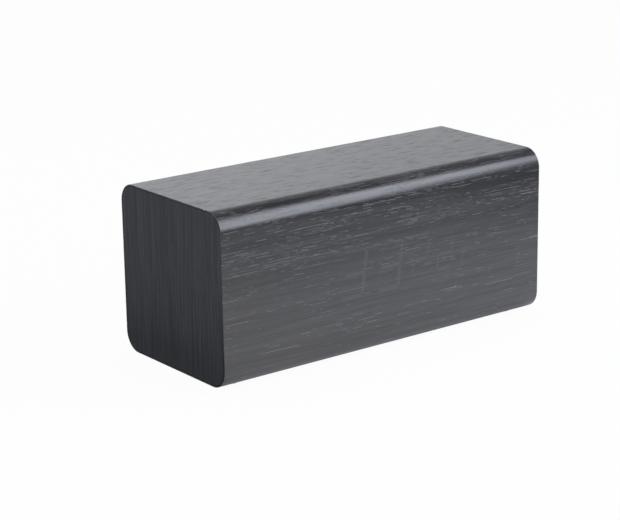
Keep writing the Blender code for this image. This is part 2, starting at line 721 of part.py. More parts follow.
def add_display():
    """Diffuser film, mask with a well for each segment, and the circuit board with its lamps."""
    outlines, middles = display_marks()
    half_width = DISPLAY_WIDTH / 2
    half_height = DISPLAY_HEIGHT / 2
    low = (DISPLAY_SHIFT - half_width, FILM_FACE, DISPLAY_MIDDLE - half_height)
    high = (DISPLAY_SHIFT + half_width, FILM_FACE + FILM_THICKNESS, DISPLAY_MIDDLE + half_height)
    finish(box("diffuser_film", low, high), "film")
    rise = DISPLAY_MIDDLE - DIGIT_MIDDLE
    panel = rectangle(DISPLAY_WIDTH, DISPLAY_HEIGHT, 0, DISPLAY_SHIFT, rise)
    middle = (0, MASK_FACE + MASK_THICKNESS / 2, DIGIT_MIDDLE)
    finish(prism("segment_mask", [panel] + outlines, MASK_THICKNESS, middle, ALONG_Y), "dark_plastic")
    board_width = DISPLAY_WIDTH + 2 * DISPLAY_BOARD_SIDE
    board_height = DISPLAY_HEIGHT + 2 * DISPLAY_BOARD_RIM
    outline = rectangle(board_width, board_height, 0, DISPLAY_SHIFT, 0)
    holes = [circle(x, z - DISPLAY_MIDDLE, PILOT_RADIUS) for x, z in display_screw_places()]
    middle = (0, (CIRCUIT_FACE + CIRCUIT_BACK) / 2, DISPLAY_MIDDLE)
    board = prism("display_board", [outline] + holes, CIRCUIT_THICKNESS, middle, ALONG_Y)
    half = LED_WIDTH / 2
    lamps = []
    for x, z in middles:
        low = (x - half, CIRCUIT_FACE - LED_HEIGHT, DIGIT_MIDDLE + z - half)
        high = (x + half, CIRCUIT_FACE + FUSE, DIGIT_MIDDLE + z + half)
        lamps.append((low, high))
    fuse(board, boxes("segment_lamps", lamps))
    finish(board, "circuit")
    for index, (x, z) in enumerate(display_screw_places()):
        head = (x, CIRCUIT_BACK + GAP, z)
        add_screw(f"display_screw_{index + 1}", head, FACING_REAR, DISPLAY_SCREW_LENGTH)
    chip_x = RIBBON_PLACE - RIBBON_WIDTH / 2 - DRIVER_CHIP_CLEARANCE - CHIP_SIDE / 2
    add_chip("driver_chip", (chip_x, CIRCUIT_BACK + GAP, DISPLAY_MIDDLE), 1)


def add_screw(name, under_head, turn, length):
    """A pan-head screw with a cross recess; its head stands on the given point along the turned Z."""
    edge = SCREW_HEAD_HEIGHT / 2
    profile = [
        (0, SCREW_HEAD_HEIGHT),
        (SCREW_HEAD_RADIUS - edge, SCREW_HEAD_HEIGHT),
        (SCREW_HEAD_RADIUS, SCREW_HEAD_HEIGHT - edge),
        (SCREW_HEAD_RADIUS, 0),
        (SCREW_SHANK_RADIUS, 0),
        (SCREW_SHANK_RADIUS, SCREW_POINT - length),
        (0, -length),
    ]
    screw = turned(name, profile, under_head, turn, SMALL_ROUND_STEPS)
    half_length = SCREW_CROSS_LENGTH / 2
    half_width = SCREW_CROSS_WIDTH / 2
    floor = SCREW_HEAD_HEIGHT - SCREW_CROSS_DEPTH
    top = SCREW_HEAD_HEIGHT + OVERRUN
    for arm, (x, y) in (("a", (half_length, half_width)), ("b", (half_width, half_length))):
        tool = box(f"{name}_cross_{arm}", (-x, -y, floor), (x, y, top))
        tool.location.rotate(turn)
        tool.location += Vector(under_head)
        tool.rotation_euler = turn
        cut(screw, tool)
    return finish(screw, "steel")


def add_chip(name, foot, side):
    """A flat chip with two rows of legs, standing off a board along side times Y."""
    x, y, z = foot
    half = CHIP_SIDE / 2

    def span(near, far):
        return sorted((y + side * near, y + side * far))

    body_near, body_far = span(CHIP_LEG_HEIGHT, CHIP_LEG_HEIGHT + CHIP_HEIGHT)
    chip = box(name, (x - half, body_near, z - half), (x + half, body_far, z + half))
    leg_near, leg_far = span(0, CHIP_LEG_HEIGHT + FUSE)
    legs = []
    for index in range(CHIP_LEGS):
        across = x + (index - (CHIP_LEGS - 1) / 2) * CHIP_LEG_PITCH
        left = across - CHIP_LEG_WIDTH / 2
        right = across + CHIP_LEG_WIDTH / 2
        for end in (-1, 1):
            inner = z + end * (half - FUSE)
            outer = z + end * (half + CHIP_LEG_REACH)
            legs.append(((left, leg_near, min(inner, outer)), (right, leg_far, max(inner, outer))))
    fuse(chip, boxes(name + "_legs", legs))
    return finish(chip, "chip")


def plate_screw_places():
    """The four corners of the back plate where its screws go."""
    x = PLATE_WIDTH / 2 - PLATE_SCREW_INSET
    z = PLATE_HEIGHT / 2 - PLATE_SCREW_INSET
    return [(side * x, BODY_MIDDLE + rise * z) for side, rise in ((-1, -1), (-1, 1), (1, -1), (1, 1))]


def button_places():
    """Names and places of the three push buttons, from the one nearest the middle outwards."""
    names = ("up", "down", "set")
    return [(name, BUTTON_START - index * BUTTON_PITCH) for index, name in enumerate(names)]


def add_back_plate():
    """Back plate with its holes, battery tray and the two bosses that carry the main board."""
    lower = LOWER_ROW - BODY_MIDDLE
    loops = [rectangle(PLATE_WIDTH, PLATE_HEIGHT, PLATE_CORNER)]
    opening_width = BAY_LENGTH + 2 * BAY_LEDGE
    opening_height = BAY_HEIGHT + 2 * BAY_LEDGE
    loops.append(rectangle(opening_width, opening_height, DOOR_CORNER, BAY_CENTRE, 0))
    for _, x in button_places():
        loops.append(circle(x, BUTTON_RISE, BUTTON_RADIUS + GAP, ROUND_STEPS))
    slot_width = KNOB_WIDTH + KNOB_TRAVEL + 2 * GAP
    loops.append(rectangle(slot_width, KNOB_HEIGHT + 2 * GAP, 0, SLIDE_PLACE, lower))
    loops.append(circle(SOCKET_PLACE, lower, SOCKET_NOSE_RADIUS + GAP, ROUND_STEPS))
    loops.append(circle(MICROPHONE_PLACE, BUTTON_RISE, MICROPHONE_HOLE_RADIUS))
    loops.append(circle(BUZZER_PLACE, lower, GRILLE_HOLE_RADIUS, phase=math.pi / SMALL_ROUND_STEPS))
    for x, y in circle(BUZZER_PLACE, lower, GRILLE_PITCH, GRILLE_HOLES):
        loops.append(circle(x, y, GRILLE_HOLE_RADIUS))
    for x, z in plate_screw_places():
        loops.append(circle(x, z - BODY_MIDDLE, PILOT_RADIUS))
    middle = (0, (PLATE_FACE + PLATE_BACK) / 2, BODY_MIDDLE)
    plate = prism("back_plate", loops, PLATE_THICKNESS, middle, ALONG_Y)
    fuse(plate, battery_tray())
    boss_top = (PLATE_FACE + PLATE_BACK) / 2
    boss_length = boss_top - PART_LEVEL
    for index, shares in enumerate(BOSS_SHARES):
        x, z = on_main_board(shares)
        rings = [circle(0, 0, BOSS_RADIUS), circle(0, 0, PILOT_RADIUS)]
        centre = (x, PART_LEVEL + boss_length / 2, z)
        fuse(plate, prism(f"board_boss_{index}", rings, boss_length, centre, ALONG_Y))
    finish(plate, "black_plastic")
    for index, (x, z) in enumerate(plate_screw_places()):
        head = (x, PLATE_FACE + GAP, z)
        add_screw(f"plate_screw_{index + 1}", head, FACING_REAR, PLATE_SCREW_LENGTH)


def battery_tray():
    """The open tray behind the door, with notches for its tongues and slits for the solder tags."""
    half_length = BAY_LENGTH / 2
    half_height = BAY_HEIGHT / 2
    floor = BAY_FLOOR_LEVEL
    low = (BAY_CENTRE - half_length - BAY_WALL, floor - BAY_FLOOR, BODY_MIDDLE - half_height - BAY_WALL)
    high = (BAY_CENTRE + half_length + BAY_WALL, LEDGE_LEVEL, BODY_MIDDLE + half_height + BAY_WALL)
    tray = box("battery_tray", low, high)
    low = (BAY_CENTRE - half_length, floor, BODY_MIDDLE - half_height)
    high = (BAY_CENTRE + half_length, LEDGE_LEVEL + OVERRUN, BODY_MIDDLE + half_height)
    cut(tray, box("bay_cutter", low, high))
    notches = []
    for x in tongue_places():
        half_width = TONGUE_WIDTH / 2 + GAP
        bottom = BODY_MIDDLE - half_height
        low = (x - half_width, tongue_level() - TONGUE_THICKNESS - TONGUE_SWING, bottom - BAY_WALL - OVERRUN)
        high = (x + half_width, LEDGE_LEVEL + OVERRUN, bottom + OVERRUN)
        notches.append((low, high))
    cut(tray, boxes("tongue_notch_cutter", notches))
    slits = []
    for side, z in ((-1, cell_heights()[0]), (1, cell_heights()[2])):
        inner = BAY_CENTRE + side * (half_length - GAP + TAG_CLEARANCE)
        outer = BAY_CENTRE + side * (half_length - GAP - CONTACT_THICKNESS - TAG_CLEARANCE)
        half_tag = TAG_WIDTH / 2 + TAG_CLEARANCE
        low = (min(inner, outer), floor - BAY_FLOOR - OVERRUN, z - half_tag)
        high = (max(inner, outer), floor + OVERRUN, z + half_tag)
        slits.append((low, high))
    cut(tray, boxes("solder_tag_cutter", slits))
    return tray


def tongue_places():
    """Middle of each of the door's two tongues."""
    return (BAY_CENTRE - TONGUE_SPREAD / 2, BAY_CENTRE + TONGUE_SPREAD / 2)


def tongue_level():
    """The tongues' outer face, just behind the back plate."""
    return PLATE_BACK - GAP


def cell_heights():
    """Middle heights of the three cells, lowest first."""
    return [BODY_MIDDLE + (index - (CELL_COUNT - 1) / 2) * CELL_PITCH for index in range(CELL_COUNT)]


def add_door():
    """Battery door hinged on its lower outer edge, with tongues, a latch tab and grip ribs."""
    half_width = DOOR_WIDTH / 2
    half_height = DOOR_HEIGHT / 2
    slit_in = LATCH_WIDTH / 2
    slit_out = slit_in + LATCH_SLIT
    slit_floor = half_height - LATCH_DEPTH
    outline = filleted([
        (-half_width, -half_height, DOOR_CORNER), (half_width, -half_height, DOOR_CORNER),
        (half_width, half_height, DOOR_CORNER), (slit_out, half_height, 0),
        (slit_out, slit_floor, 0), (slit_in, slit_floor, 0), (slit_in, half_height, 0),
        (-slit_in, half_height, 0), (-slit_in, slit_floor, 0), (-slit_out, slit_floor, 0),
        (-slit_out, half_height, 0), (-half_width, half_height, DOOR_CORNER),
    ])
    hinge = bpy.data.objects.new("battery_door_hinge", None)
    hinge.location = (BAY_CENTRE, PLATE_FACE, BODY_MIDDLE - half_height)
    bpy.data.collections["digital_alarm_clock"].objects.link(hinge)
    centre = Vector((BAY_CENTRE, PLATE_FACE - DOOR_THICKNESS / 2, BODY_MIDDLE))
    door = prism("battery_door", [outline], DOOR_THICKNESS, centre, ALONG_Y)
    ribs = []
    for index in range(RIB_COUNT):
        z = BODY_MIDDLE + half_height - LATCH_DEPTH / 2 + (index - (RIB_COUNT - 1) / 2) * RIB_PITCH
        low = (BAY_CENTRE - RIB_LENGTH / 2, PLATE_FACE - FUSE, z - RIB_WIDTH / 2)
        high = (BAY_CENTRE + RIB_LENGTH / 2, PLATE_FACE + RIB_RISE, z + RIB_WIDTH / 2)
        ribs.append((low, high))
    fuse(door, boxes("door_ribs", ribs))
    bottom = BODY_MIDDLE - half_height
    outer = tongue_level()
    roots = []
    tongues = []
    for x in tongue_places():
        left = x - TONGUE_WIDTH / 2
        right = x + TONGUE_WIDTH / 2
        root_low = (left, outer - TONGUE_THICKNESS, bottom + GAP)
        root_high = (right, PLATE_FACE - DOOR_THICKNESS + FUSE, bottom + GAP + TONGUE_THICKNESS)
        roots.append((root_low, root_high))
        inset = FUSE / 2
        tongue_low = (left + inset, outer - TONGUE_THICKNESS + inset, bottom - TONGUE_REACH)
        tongue_high = (right - inset, outer, bottom + GAP + TONGUE_THICKNESS / 2)
        tongues.append((tongue_low, tongue_high))
    fuse(door, boxes("door_tongue_roots", roots))
    fuse(door, boxes("door_tongues", tongues))
    door.parent = hinge
    door.location = centre - hinge.location
    finish(door, "black_plastic")


def add_cells():
    """Three cells, turned end for end in turn."""
    tip = CELL_LENGTH / 2
    shoulder = tip - CELL_NUB_HEIGHT
    profile = [
        (0, tip),
        (CELL_NUB_RADIUS, tip),
        (CELL_NUB_RADIUS, shoulder),
        (CELL_RADIUS - CELL_EDGE, shoulder),
        (CELL_RADIUS, shoulder - CELL_EDGE),
        (CELL_RADIUS, CELL_EDGE - tip),
        (CELL_RADIUS - CELL_EDGE, -tip),
        (0, -tip),
    ]
    shift = (SPRING_REACH - FLAT_REACH) / 2
    for index, z in enumerate(cell_heights()):
        side = -1 if index % 2 == 0 else 1
        centre = (BAY_CENTRE + side * shift, CELL_LEVEL, z)
        turn = FACING_LEFT if side < 0 else FACING_RIGHT
        finish(turned(f"battery_cell_{index + 1}", profile, centre, turn, ROUND_STEPS), "cell_jacket")


def conical_spring(name, wall, side, z):
    """A conical coil from the contact plate at wall, growing narrower away from it."""
    count = SPRING_TURNS * CURL_POINTS
    seat = SPRING_WIRE * SPRING_SEAT_SHARE
    start = wall + side * seat
    length = SPRING_LENGTH - seat - SPRING_WIRE
    points = []
    for index in range(count + 1):
        share = index / count
        angle = 2 * math.pi * SPRING_TURNS * share
        radius = SPRING_BASE_RADIUS + (SPRING_TIP_RADIUS - SPRING_BASE_RADIUS) * share
        x = start + side * length * share
        points.append((x, CELL_LEVEL + radius * math.cos(angle), z + radius * math.sin(angle)))
    gaps = []
    for first, place in enumerate(points):
        for other in points[first + CURL_POINTS // 2:]:
            gaps.append(math.dist(place, other) - 2 * SPRING_WIRE)
    print(f"{name}: least gap to itself {min(gaps):.5f} m")
    return tube(name, points, SPRING_WIRE, 1)


def add_contacts():
    """Two end contacts with solder tags and two bridges that join neighbouring cells."""
    low_z, mid_z, high_z = cell_heights()
    contacts = (
        ("positive_contact", -1, (low_z,), (False,), True),
        ("cell_bridge_right", 1, (low_z, mid_z), (True, False), False),
        ("cell_bridge_left", -1, (mid_z, high_z), (True, False), False),
        ("negative_contact", 1, (high_z,), (True,), True),
    )
    half = CONTACT_WIDTH / 2
    for name, side, heights, sprung, tagged in contacts:
        wall = BAY_CENTRE + side * (BAY_LENGTH / 2 - GAP)
        face = wall - side * CONTACT_THICKNESS
        left = min(wall, face)
        right = max(wall, face)
        low = (left, CELL_LEVEL - half, heights[0] - half)
        high = (right, CELL_LEVEL + half, heights[-1] + half)
        contact = box(name, low, high)
        if tagged:
            tag_low = (left, BAY_FLOOR_LEVEL - BAY_FLOOR - TAG_REACH, heights[0] - TAG_WIDTH / 2)
            tag_high = (right, CELL_LEVEL, heights[0] + TAG_WIDTH / 2)
            fuse(contact, box(name + "_tag", tag_low, tag_high))
        for index, (z, has_spring) in enumerate(zip(heights, sprung)):
            if has_spring:
                fuse(contact, conical_spring(f"{name}_spring_{index}", face, -side, z))
            else:
                fuse(contact, dimple(f"{name}_dimple_{index}", face, -side, z))
        finish(contact, "nickel")


def dimple(name, wall, side, z):
    """The pressed-out dome that meets a cell's nub."""
    profile = [
        (0, DIMPLE_HEIGHT),
        (DIMPLE_RADIUS - DIMPLE_HEIGHT, DIMPLE_HEIGHT),
        (DIMPLE_RADIUS, -CONTACT_THICKNESS / 2),
        (0, -CONTACT_THICKNESS / 2),
    ]
    turn = FACING_RIGHT if side > 0 else FACING_LEFT
    return turned(name, profile, (wall, CELL_LEVEL, z), turn, SMALL_ROUND_STEPS)


def add_buttons():
    """Three caps held behind the plate by their flanges, each over its own key switch."""
    flange_top = PLATE_BACK - GAP
    flange_bottom = flange_top - BUTTON_FLANGE
    stem_end = flange_bottom - BUTTON_STEM
    top = PLATE_FACE + BUTTON_PROUD
    profile = [
        (0, top), (BUTTON_RADIUS - BUTTON_EDGE, top), (BUTTON_RADIUS, top - BUTTON_EDGE),
        (BUTTON_RADIUS, flange_top), (BUTTON_FLANGE_RADIUS, flange_top),
        (BUTTON_FLANGE_RADIUS, flange_bottom), (BUTTON_STEM_RADIUS, flange_bottom),
        (BUTTON_STEM_RADIUS, stem_end), (0, stem_end),
    ]
    marks = {
        "up": circle(0, 0, MARK_SIZE, TRIANGLE_CORNERS),
        "down": circle(0, 0, -MARK_SIZE, TRIANGLE_CORNERS),
        "set": circle(0, 0, MARK_SIZE / 2),
    }
    for name, x in button_places():
        slide = bpy.data.objects.new(f"button_{name}_slide", None)
        slide.location = (x, 0, BUTTON_ROW)
        bpy.data.collections["digital_alarm_clock"].objects.link(slide)
        cap = turned(f"button_cap_{name}", profile, (0, 0, 0), FACING_REAR)
        mark_turn = Euler((math.pi / 2, -math.pi / 2, 0))
        mark_centre = Vector((0, top + (MARK_RISE - FUSE) / 2, 0))
        mark = prism(f"mark_{name}", [marks[name]], MARK_RISE + FUSE, mark_centre, mark_turn)
        mark.parent = slide
        cap.parent = slide
        fuse(cap, mark)
        finish(cap, "dark_plastic")
        add_key_switch(name, x, stem_end, slide)


def add_key_switch(name, x, stem_end, slide):
    """A square switch body on the main board with a round plunger in its well."""
    half = SWITCH_SIDE / 2
    low = (x - half, PART_LEVEL, BUTTON_ROW - half)
    high = (x + half, PART_LEVEL + SWITCH_HEIGHT, BUTTON_ROW + half)
    body = box(f"key_switch_{name}", low, high)
    plunger_top = stem_end - GAP
    plunger_foot = PART_LEVEL + SWITCH_HEIGHT - PLUNGER_DEPTH
    well_floor = plunger_foot - BUTTON_TRAVEL - GAP
    well_depth = PART_LEVEL + SWITCH_HEIGHT - well_floor + OVERRUN
    centre = (x, well_floor + well_depth / 2, BUTTON_ROW)
    cut(body, rod(f"key_well_{name}", PLUNGER_RADIUS + GAP, well_depth, centre, ALONG_Y, SMALL_ROUND_STEPS))
    finish(body, "chip")
    length = plunger_top - plunger_foot
    centre = (0, plunger_foot + length / 2, 0)
    plunger = rod(f"key_plunger_{name}", PLUNGER_RADIUS, length, centre, ALONG_Y)
    plunger.parent = slide
    finish(smooth(plunger), "dark_plastic")


def add_slide_switch():
    """Alarm switch: a body on the main board and a knob that slides in the plate's slot."""
    body_low = (SLIDE_PLACE - SLIDE_BODY_WIDTH / 2, PART_LEVEL, LOWER_ROW - SLIDE_BODY_HEIGHT / 2)
    body_top = PART_LEVEL + SLIDE_BODY_DEPTH
    body_high = (SLIDE_PLACE + SLIDE_BODY_WIDTH / 2, body_top, LOWER_ROW + SLIDE_BODY_HEIGHT / 2)
    body = box("slide_switch_body", body_low, body_high)
    half_lever = LEVER_SIDE / 2
    well_half = half_lever + KNOB_TRAVEL / 2 + GAP
    well_low = (SLIDE_PLACE - well_half, body_top - SLIDE_WELL, LOWER_ROW - half_lever - GAP)
    well_high = (SLIDE_PLACE + well_half, body_top + OVERRUN, LOWER_ROW + half_lever + GAP)
    cut(body, box("slide_well_cutter", well_low, well_high))
    finish(body, "steel")

    x = SLIDE_PLACE - KNOB_TRAVEL / 2
    half_width = KNOB_WIDTH / 2
    half_height = KNOB_HEIGHT / 2
    top = PLATE_FACE + KNOB_PROUD
    shoulder_top = PLATE_BACK - GAP
    shoulder = shoulder_top - KNOB_SHOULDER
    knob = box(
        "alarm_switch_knob",
        (x - half_width, shoulder + KNOB_SHOULDER / 2, LOWER_ROW - half_height),
        (x + half_width, top, LOWER_ROW + half_height),
    )
    rim_width = half_width + KNOB_SHOULDER_RIM
    rim_height = half_height + KNOB_SHOULDER_RIM
    rim_low = (x - rim_width, shoulder, LOWER_ROW - rim_height)
    rim_high = (x + rim_width, shoulder_top, LOWER_ROW + rim_height)
    fuse(knob, box("knob_shoulder", rim_low, rim_high))
    lever_low = (x - half_lever, body_top - SLIDE_WELL + GAP, LOWER_ROW - half_lever)
    lever_high = (x + half_lever, shoulder + KNOB_SHOULDER / 2, LOWER_ROW + half_lever)
    fuse(knob, box("knob_lever", lever_low, lever_high))
    grooves = []
    for place in (-1, 0, 1):
        middle = x + place * 2 * KNOB_GROOVE
        low = (middle - KNOB_GROOVE / 2, top - KNOB_GROOVE, LOWER_ROW - half_height - OVERRUN)
        high = (middle + KNOB_GROOVE / 2, top + OVERRUN, LOWER_ROW + half_height + OVERRUN)
        grooves.append((low, high))
    cut(knob, boxes("knob_groove_cutter", grooves))
    finish(knob, "dark_plastic")


def on_main_board(shares):
    """A place on the main board, by shares of its width and height from its middle."""
    x = OPENING_LEFT + MAIN_BOARD_OFFSET + MAIN_BOARD_WIDTH / 2 + MAIN_BOARD_WIDTH * shares[0]
    z = BODY_MIDDLE + MAIN_BOARD_DROP + MAIN_BOARD_HEIGHT * shares[1]
    return (x, z)


def add_main_board():
    """Main board on the plate's bosses, with all that stands on its two faces."""
    x, z = on_main_board((0, 0))
    loops = [rectangle(MAIN_BOARD_WIDTH, MAIN_BOARD_HEIGHT, 0, x, 0)]
    for shares in BOSS_SHARES:
        boss_x, boss_z = on_main_board(shares)
        loops.append(circle(boss_x, boss_z - z, PILOT_RADIUS))
    middle = (0, MAIN_BOARD_LEVEL - CIRCUIT_THICKNESS / 2, z)
    finish(prism("main_board", loops, CIRCUIT_THICKNESS, middle, ALONG_Y), "circuit")
    for index, shares in enumerate(BOSS_SHARES):
        boss_x, boss_z = on_main_board(shares)
        head = (boss_x, INNER_PART_LEVEL, boss_z)
        add_screw(f"board_screw_{index + 1}", head, FACING_FRONT, BOARD_SCREW_LENGTH)
    chip_x, chip_z = on_main_board(CHIP_SHARES)
    add_chip("controller_chip", (chip_x, INNER_PART_LEVEL, chip_z), -1)
    stadium = rectangle(CRYSTAL_WIDTH, CRYSTAL_HEIGHT, CRYSTAL_HEIGHT / 2 - FUSE)
    crystal_x, crystal_z = on_main_board(CRYSTAL_SHARES)
    centre = (crystal_x, INNER_PART_LEVEL - CRYSTAL_DEPTH / 2, crystal_z)
    finish(smooth(prism("crystal", [stadium], CRYSTAL_DEPTH, centre, ALONG_Y)), "steel")
    add_capacitor()
    add_socket()
    add_buzzer()
    add_microphone()


def add_capacitor():
    """Can capacitor standing on the board's inner face, with the crimp near its foot."""
    profile = [
        (0, CAPACITOR_LENGTH),
        (CAPACITOR_RADIUS - CAPACITOR_EDGE, CAPACITOR_LENGTH),
        (CAPACITOR_RADIUS, CAPACITOR_LENGTH - CAPACITOR_EDGE),
        (CAPACITOR_RADIUS, CAPACITOR_CRIMP_RISE + CAPACITOR_CRIMP),
        (CAPACITOR_RADIUS - CAPACITOR_CRIMP, CAPACITOR_CRIMP_RISE),
        (CAPACITOR_RADIUS, CAPACITOR_CRIMP_RISE - CAPACITOR_CRIMP),
        (CAPACITOR_RADIUS, 0),
        (0, 0),
    ]
    x, z = on_main_board(CAPACITOR_SHARES)
    foot = (x, INNER_PART_LEVEL, z)
    finish(turned("capacitor", profile, foot, FACING_FRONT, SMALL_ROUND_STEPS), "capacitor_sleeve")


def add_socket():
    """Round supply socket with its centre pin, its nose in the plate's hole."""
    foot = PART_LEVEL
    nose = PLATE_FACE - SOCKET_INSET - foot
    shoulder = PLATE_BACK - GAP - foot
    profile = [
        (0, nose - SOCKET_PIN_INSET),
        (SOCKET_PIN_RADIUS, nose - SOCKET_PIN_INSET),
        (SOCKET_PIN_RADIUS, SOCKET_FLOOR),
        (SOCKET_BORE_RADIUS, SOCKET_FLOOR),
        (SOCKET_BORE_RADIUS, nose),
        (SOCKET_NOSE_RADIUS, nose),
        (SOCKET_NOSE_RADIUS, shoulder),
        (SOCKET_BODY_RADIUS, shoulder),
        (SOCKET_BODY_RADIUS, 0),
        (0, 0),
    ]
    centre = (SOCKET_PLACE, foot, LOWER_ROW)
    finish(turned("power_socket", profile, centre, FACING_REAR), "chip")


def add_buzzer():
    """Round buzzer behind the plate's grille, with a sound port in its top."""
    height = PLATE_BACK - GAP - PART_LEVEL
    profile = [
        (0, height - BUZZER_PORT_DEPTH),
        (BUZZER_PORT_RADIUS, height - BUZZER_PORT_DEPTH),
        (BUZZER_PORT_RADIUS, height),
        (BUZZER_RADIUS, height),
        (BUZZER_RADIUS, 0),
        (0, 0),
    ]
    finish(turned("buzzer", profile, (BUZZER_PLACE, PART_LEVEL, LOWER_ROW), FACING_REAR), "chip")


def add_microphone():
    """Sound switch's microphone on its leads, close behind its hole in the plate."""
    height = PLATE_BACK - GAP - PART_LEVEL
    profile = [
        (0, height),
        (MICROPHONE_RADIUS, height),
        (MICROPHONE_RADIUS, height - MICROPHONE_LENGTH),
        (MICROPHONE_NECK_RADIUS, height - MICROPHONE_LENGTH),
        (MICROPHONE_NECK_RADIUS, 0),
        (0, 0),
    ]
    centre = (MICROPHONE_PLACE, PART_LEVEL, BUTTON_ROW)
    finish(turned("microphone", profile, centre, FACING_REAR, SMALL_ROUND_STEPS), "steel")


def add_ribbon():
    """Flat cable from the display's board to the main board, hanging in a shallow bow."""
    start = CIRCUIT_BACK + GAP
    end = MAIN_BOARD_LEVEL - CIRCUIT_THICKNESS - GAP
    half = RIBBON_THICKNESS / 2
    upper = []
    lower = []
    for index in range(RIBBON_POINTS + 1):
        share = index / RIBBON_POINTS
        y = start + (end - start) * share
        z = -RIBBON_SAG * math.sin(math.pi * share) ** 2
        slope = -RIBBON_SAG * math.pi * math.sin(2 * math.pi * share) / (end - start)
        lean = math.atan(slope)
        upper.append((y - half * math.sin(lean), z + half * math.cos(lean)))
        lower.append((y + half * math.sin(lean), z - half * math.cos(lean)))
    outline = lower + upper[::-1]
    middle = (RIBBON_PLACE, 0, BODY_MIDDLE)
    finish(prism("display_ribbon", [outline], RIBBON_WIDTH, middle, ALONG_X), "ribbon")


def add_leads():
    """Red and black battery leads from the solder tags to the main board's inner face."""
    tag_end = BAY_FLOOR_LEVEL - BAY_FLOOR - TAG_REACH - GAP
    board = INNER_PART_LEVEL
    heights = cell_heights()
    half_contact = CONTACT_THICKNESS / 2
    drop = tag_end - LEAD_DROP
    ends = (
        ("battery_lead_red", -1, heights[0], "red_lead", -1),
        ("battery_lead_black", 1, heights[2], "black_lead", 1),
    )
    for name, side, z, finish_name, row in ends:
        x = BAY_CENTRE + side * (BAY_LENGTH / 2 - GAP) - side * half_contact
        landing = BODY_MIDDLE + MAIN_BOARD_DROP + row * LEAD_SPREAD / 2
        landing_x = LEAD_PLACE
        knots = [
            Vector((x, tag_end, z)),
            Vector((x, tag_end - LEAD_DROP / 2, z)),
            Vector(((x + landing_x) / 2, drop, (z + landing) / 2)),
            Vector((landing_x, drop, landing)),
            Vector((landing_x, board - LEAD_DROP / 2, landing)),
            Vector((landing_x, board, landing)),
        ]
        finish(smooth(tube(name, smooth_route(knots, LEAD_POINTS), LEAD_RADIUS, 2)), finish_name)


clear_scene()
add_boards()
add_veneers()
add_pads()
add_display()
add_back_plate()
add_door()
add_cells()
add_contacts()
add_buttons()
add_slide_switch()
add_main_board()
add_ribbon()
add_leads()
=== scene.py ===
"""Wooden digital alarm clock: finishes, finely made surfaces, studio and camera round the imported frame."""
import logging
import math
from collections.abc import Iterable, Sequence
from dataclasses import dataclass
from enum import Enum
from functools import reduce
from typing import Any

import bmesh
import bpy
from mathutils import Euler, Matrix, Quaternion, Vector


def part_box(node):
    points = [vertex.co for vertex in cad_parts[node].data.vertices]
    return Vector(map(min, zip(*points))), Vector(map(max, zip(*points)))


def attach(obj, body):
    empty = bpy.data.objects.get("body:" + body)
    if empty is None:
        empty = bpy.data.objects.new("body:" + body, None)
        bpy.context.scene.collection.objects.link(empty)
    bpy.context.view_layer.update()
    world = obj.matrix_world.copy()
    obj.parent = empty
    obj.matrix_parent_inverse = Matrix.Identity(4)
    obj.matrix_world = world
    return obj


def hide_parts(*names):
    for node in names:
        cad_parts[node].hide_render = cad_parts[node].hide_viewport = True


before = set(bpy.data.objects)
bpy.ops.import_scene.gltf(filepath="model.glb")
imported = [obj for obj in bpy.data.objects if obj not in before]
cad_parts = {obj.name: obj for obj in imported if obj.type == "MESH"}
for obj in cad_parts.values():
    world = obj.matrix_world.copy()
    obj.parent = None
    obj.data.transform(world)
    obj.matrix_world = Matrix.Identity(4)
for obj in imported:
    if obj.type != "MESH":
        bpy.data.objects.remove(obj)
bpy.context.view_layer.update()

WELD = 0.000001
SHARP_ANGLE = math.radians(35)
WHITE = (1.0, 1.0, 1.0)

Colour = tuple[float, float, float]
Point = tuple[float, float]
Place = tuple[float, float, float]

log = logging.getLogger("alarm_clock")


class Body(Enum):
    """The bodies that pieces ride on."""

    BLOCK = "block"
    UP = "button_up"
    DOWN = "button_down"
    SET = "button_set"
    KNOB = "alarm_knob"
    DOOR = "door"


class Slot(Enum):
    """The record's material slots that the finer pieces take."""

    VENEER = "veneer"
    PAD = "pad"
    STEEL = "steel"
    CHIP = "chip"
    BACK = "back_plastic"
    KEY = "key_plastic"
    JACKET = "cell_jacket"
    CONTACT = "contact"


class Facing(Enum):
    """Turns that point a piece's own Z, or lay a flat outline's depth, along a direction."""

    UP = (0.0, 0.0, 0.0)
    REAR = (-math.pi / 2, 0.0, 0.0)
    FRONT = (math.pi / 2, 0.0, 0.0)
    RIGHT = (0.0, math.pi / 2, 0.0)
    LEFT = (0.0, -math.pi / 2, 0.0)
    ACROSS = (math.pi / 2, 0.0, math.pi / 2)

    def at(self, place: Place) -> Matrix:
        """The turn, followed by a move to the place."""
        return Matrix.Translation(place) @ Euler(self.value).to_matrix().to_4x4()


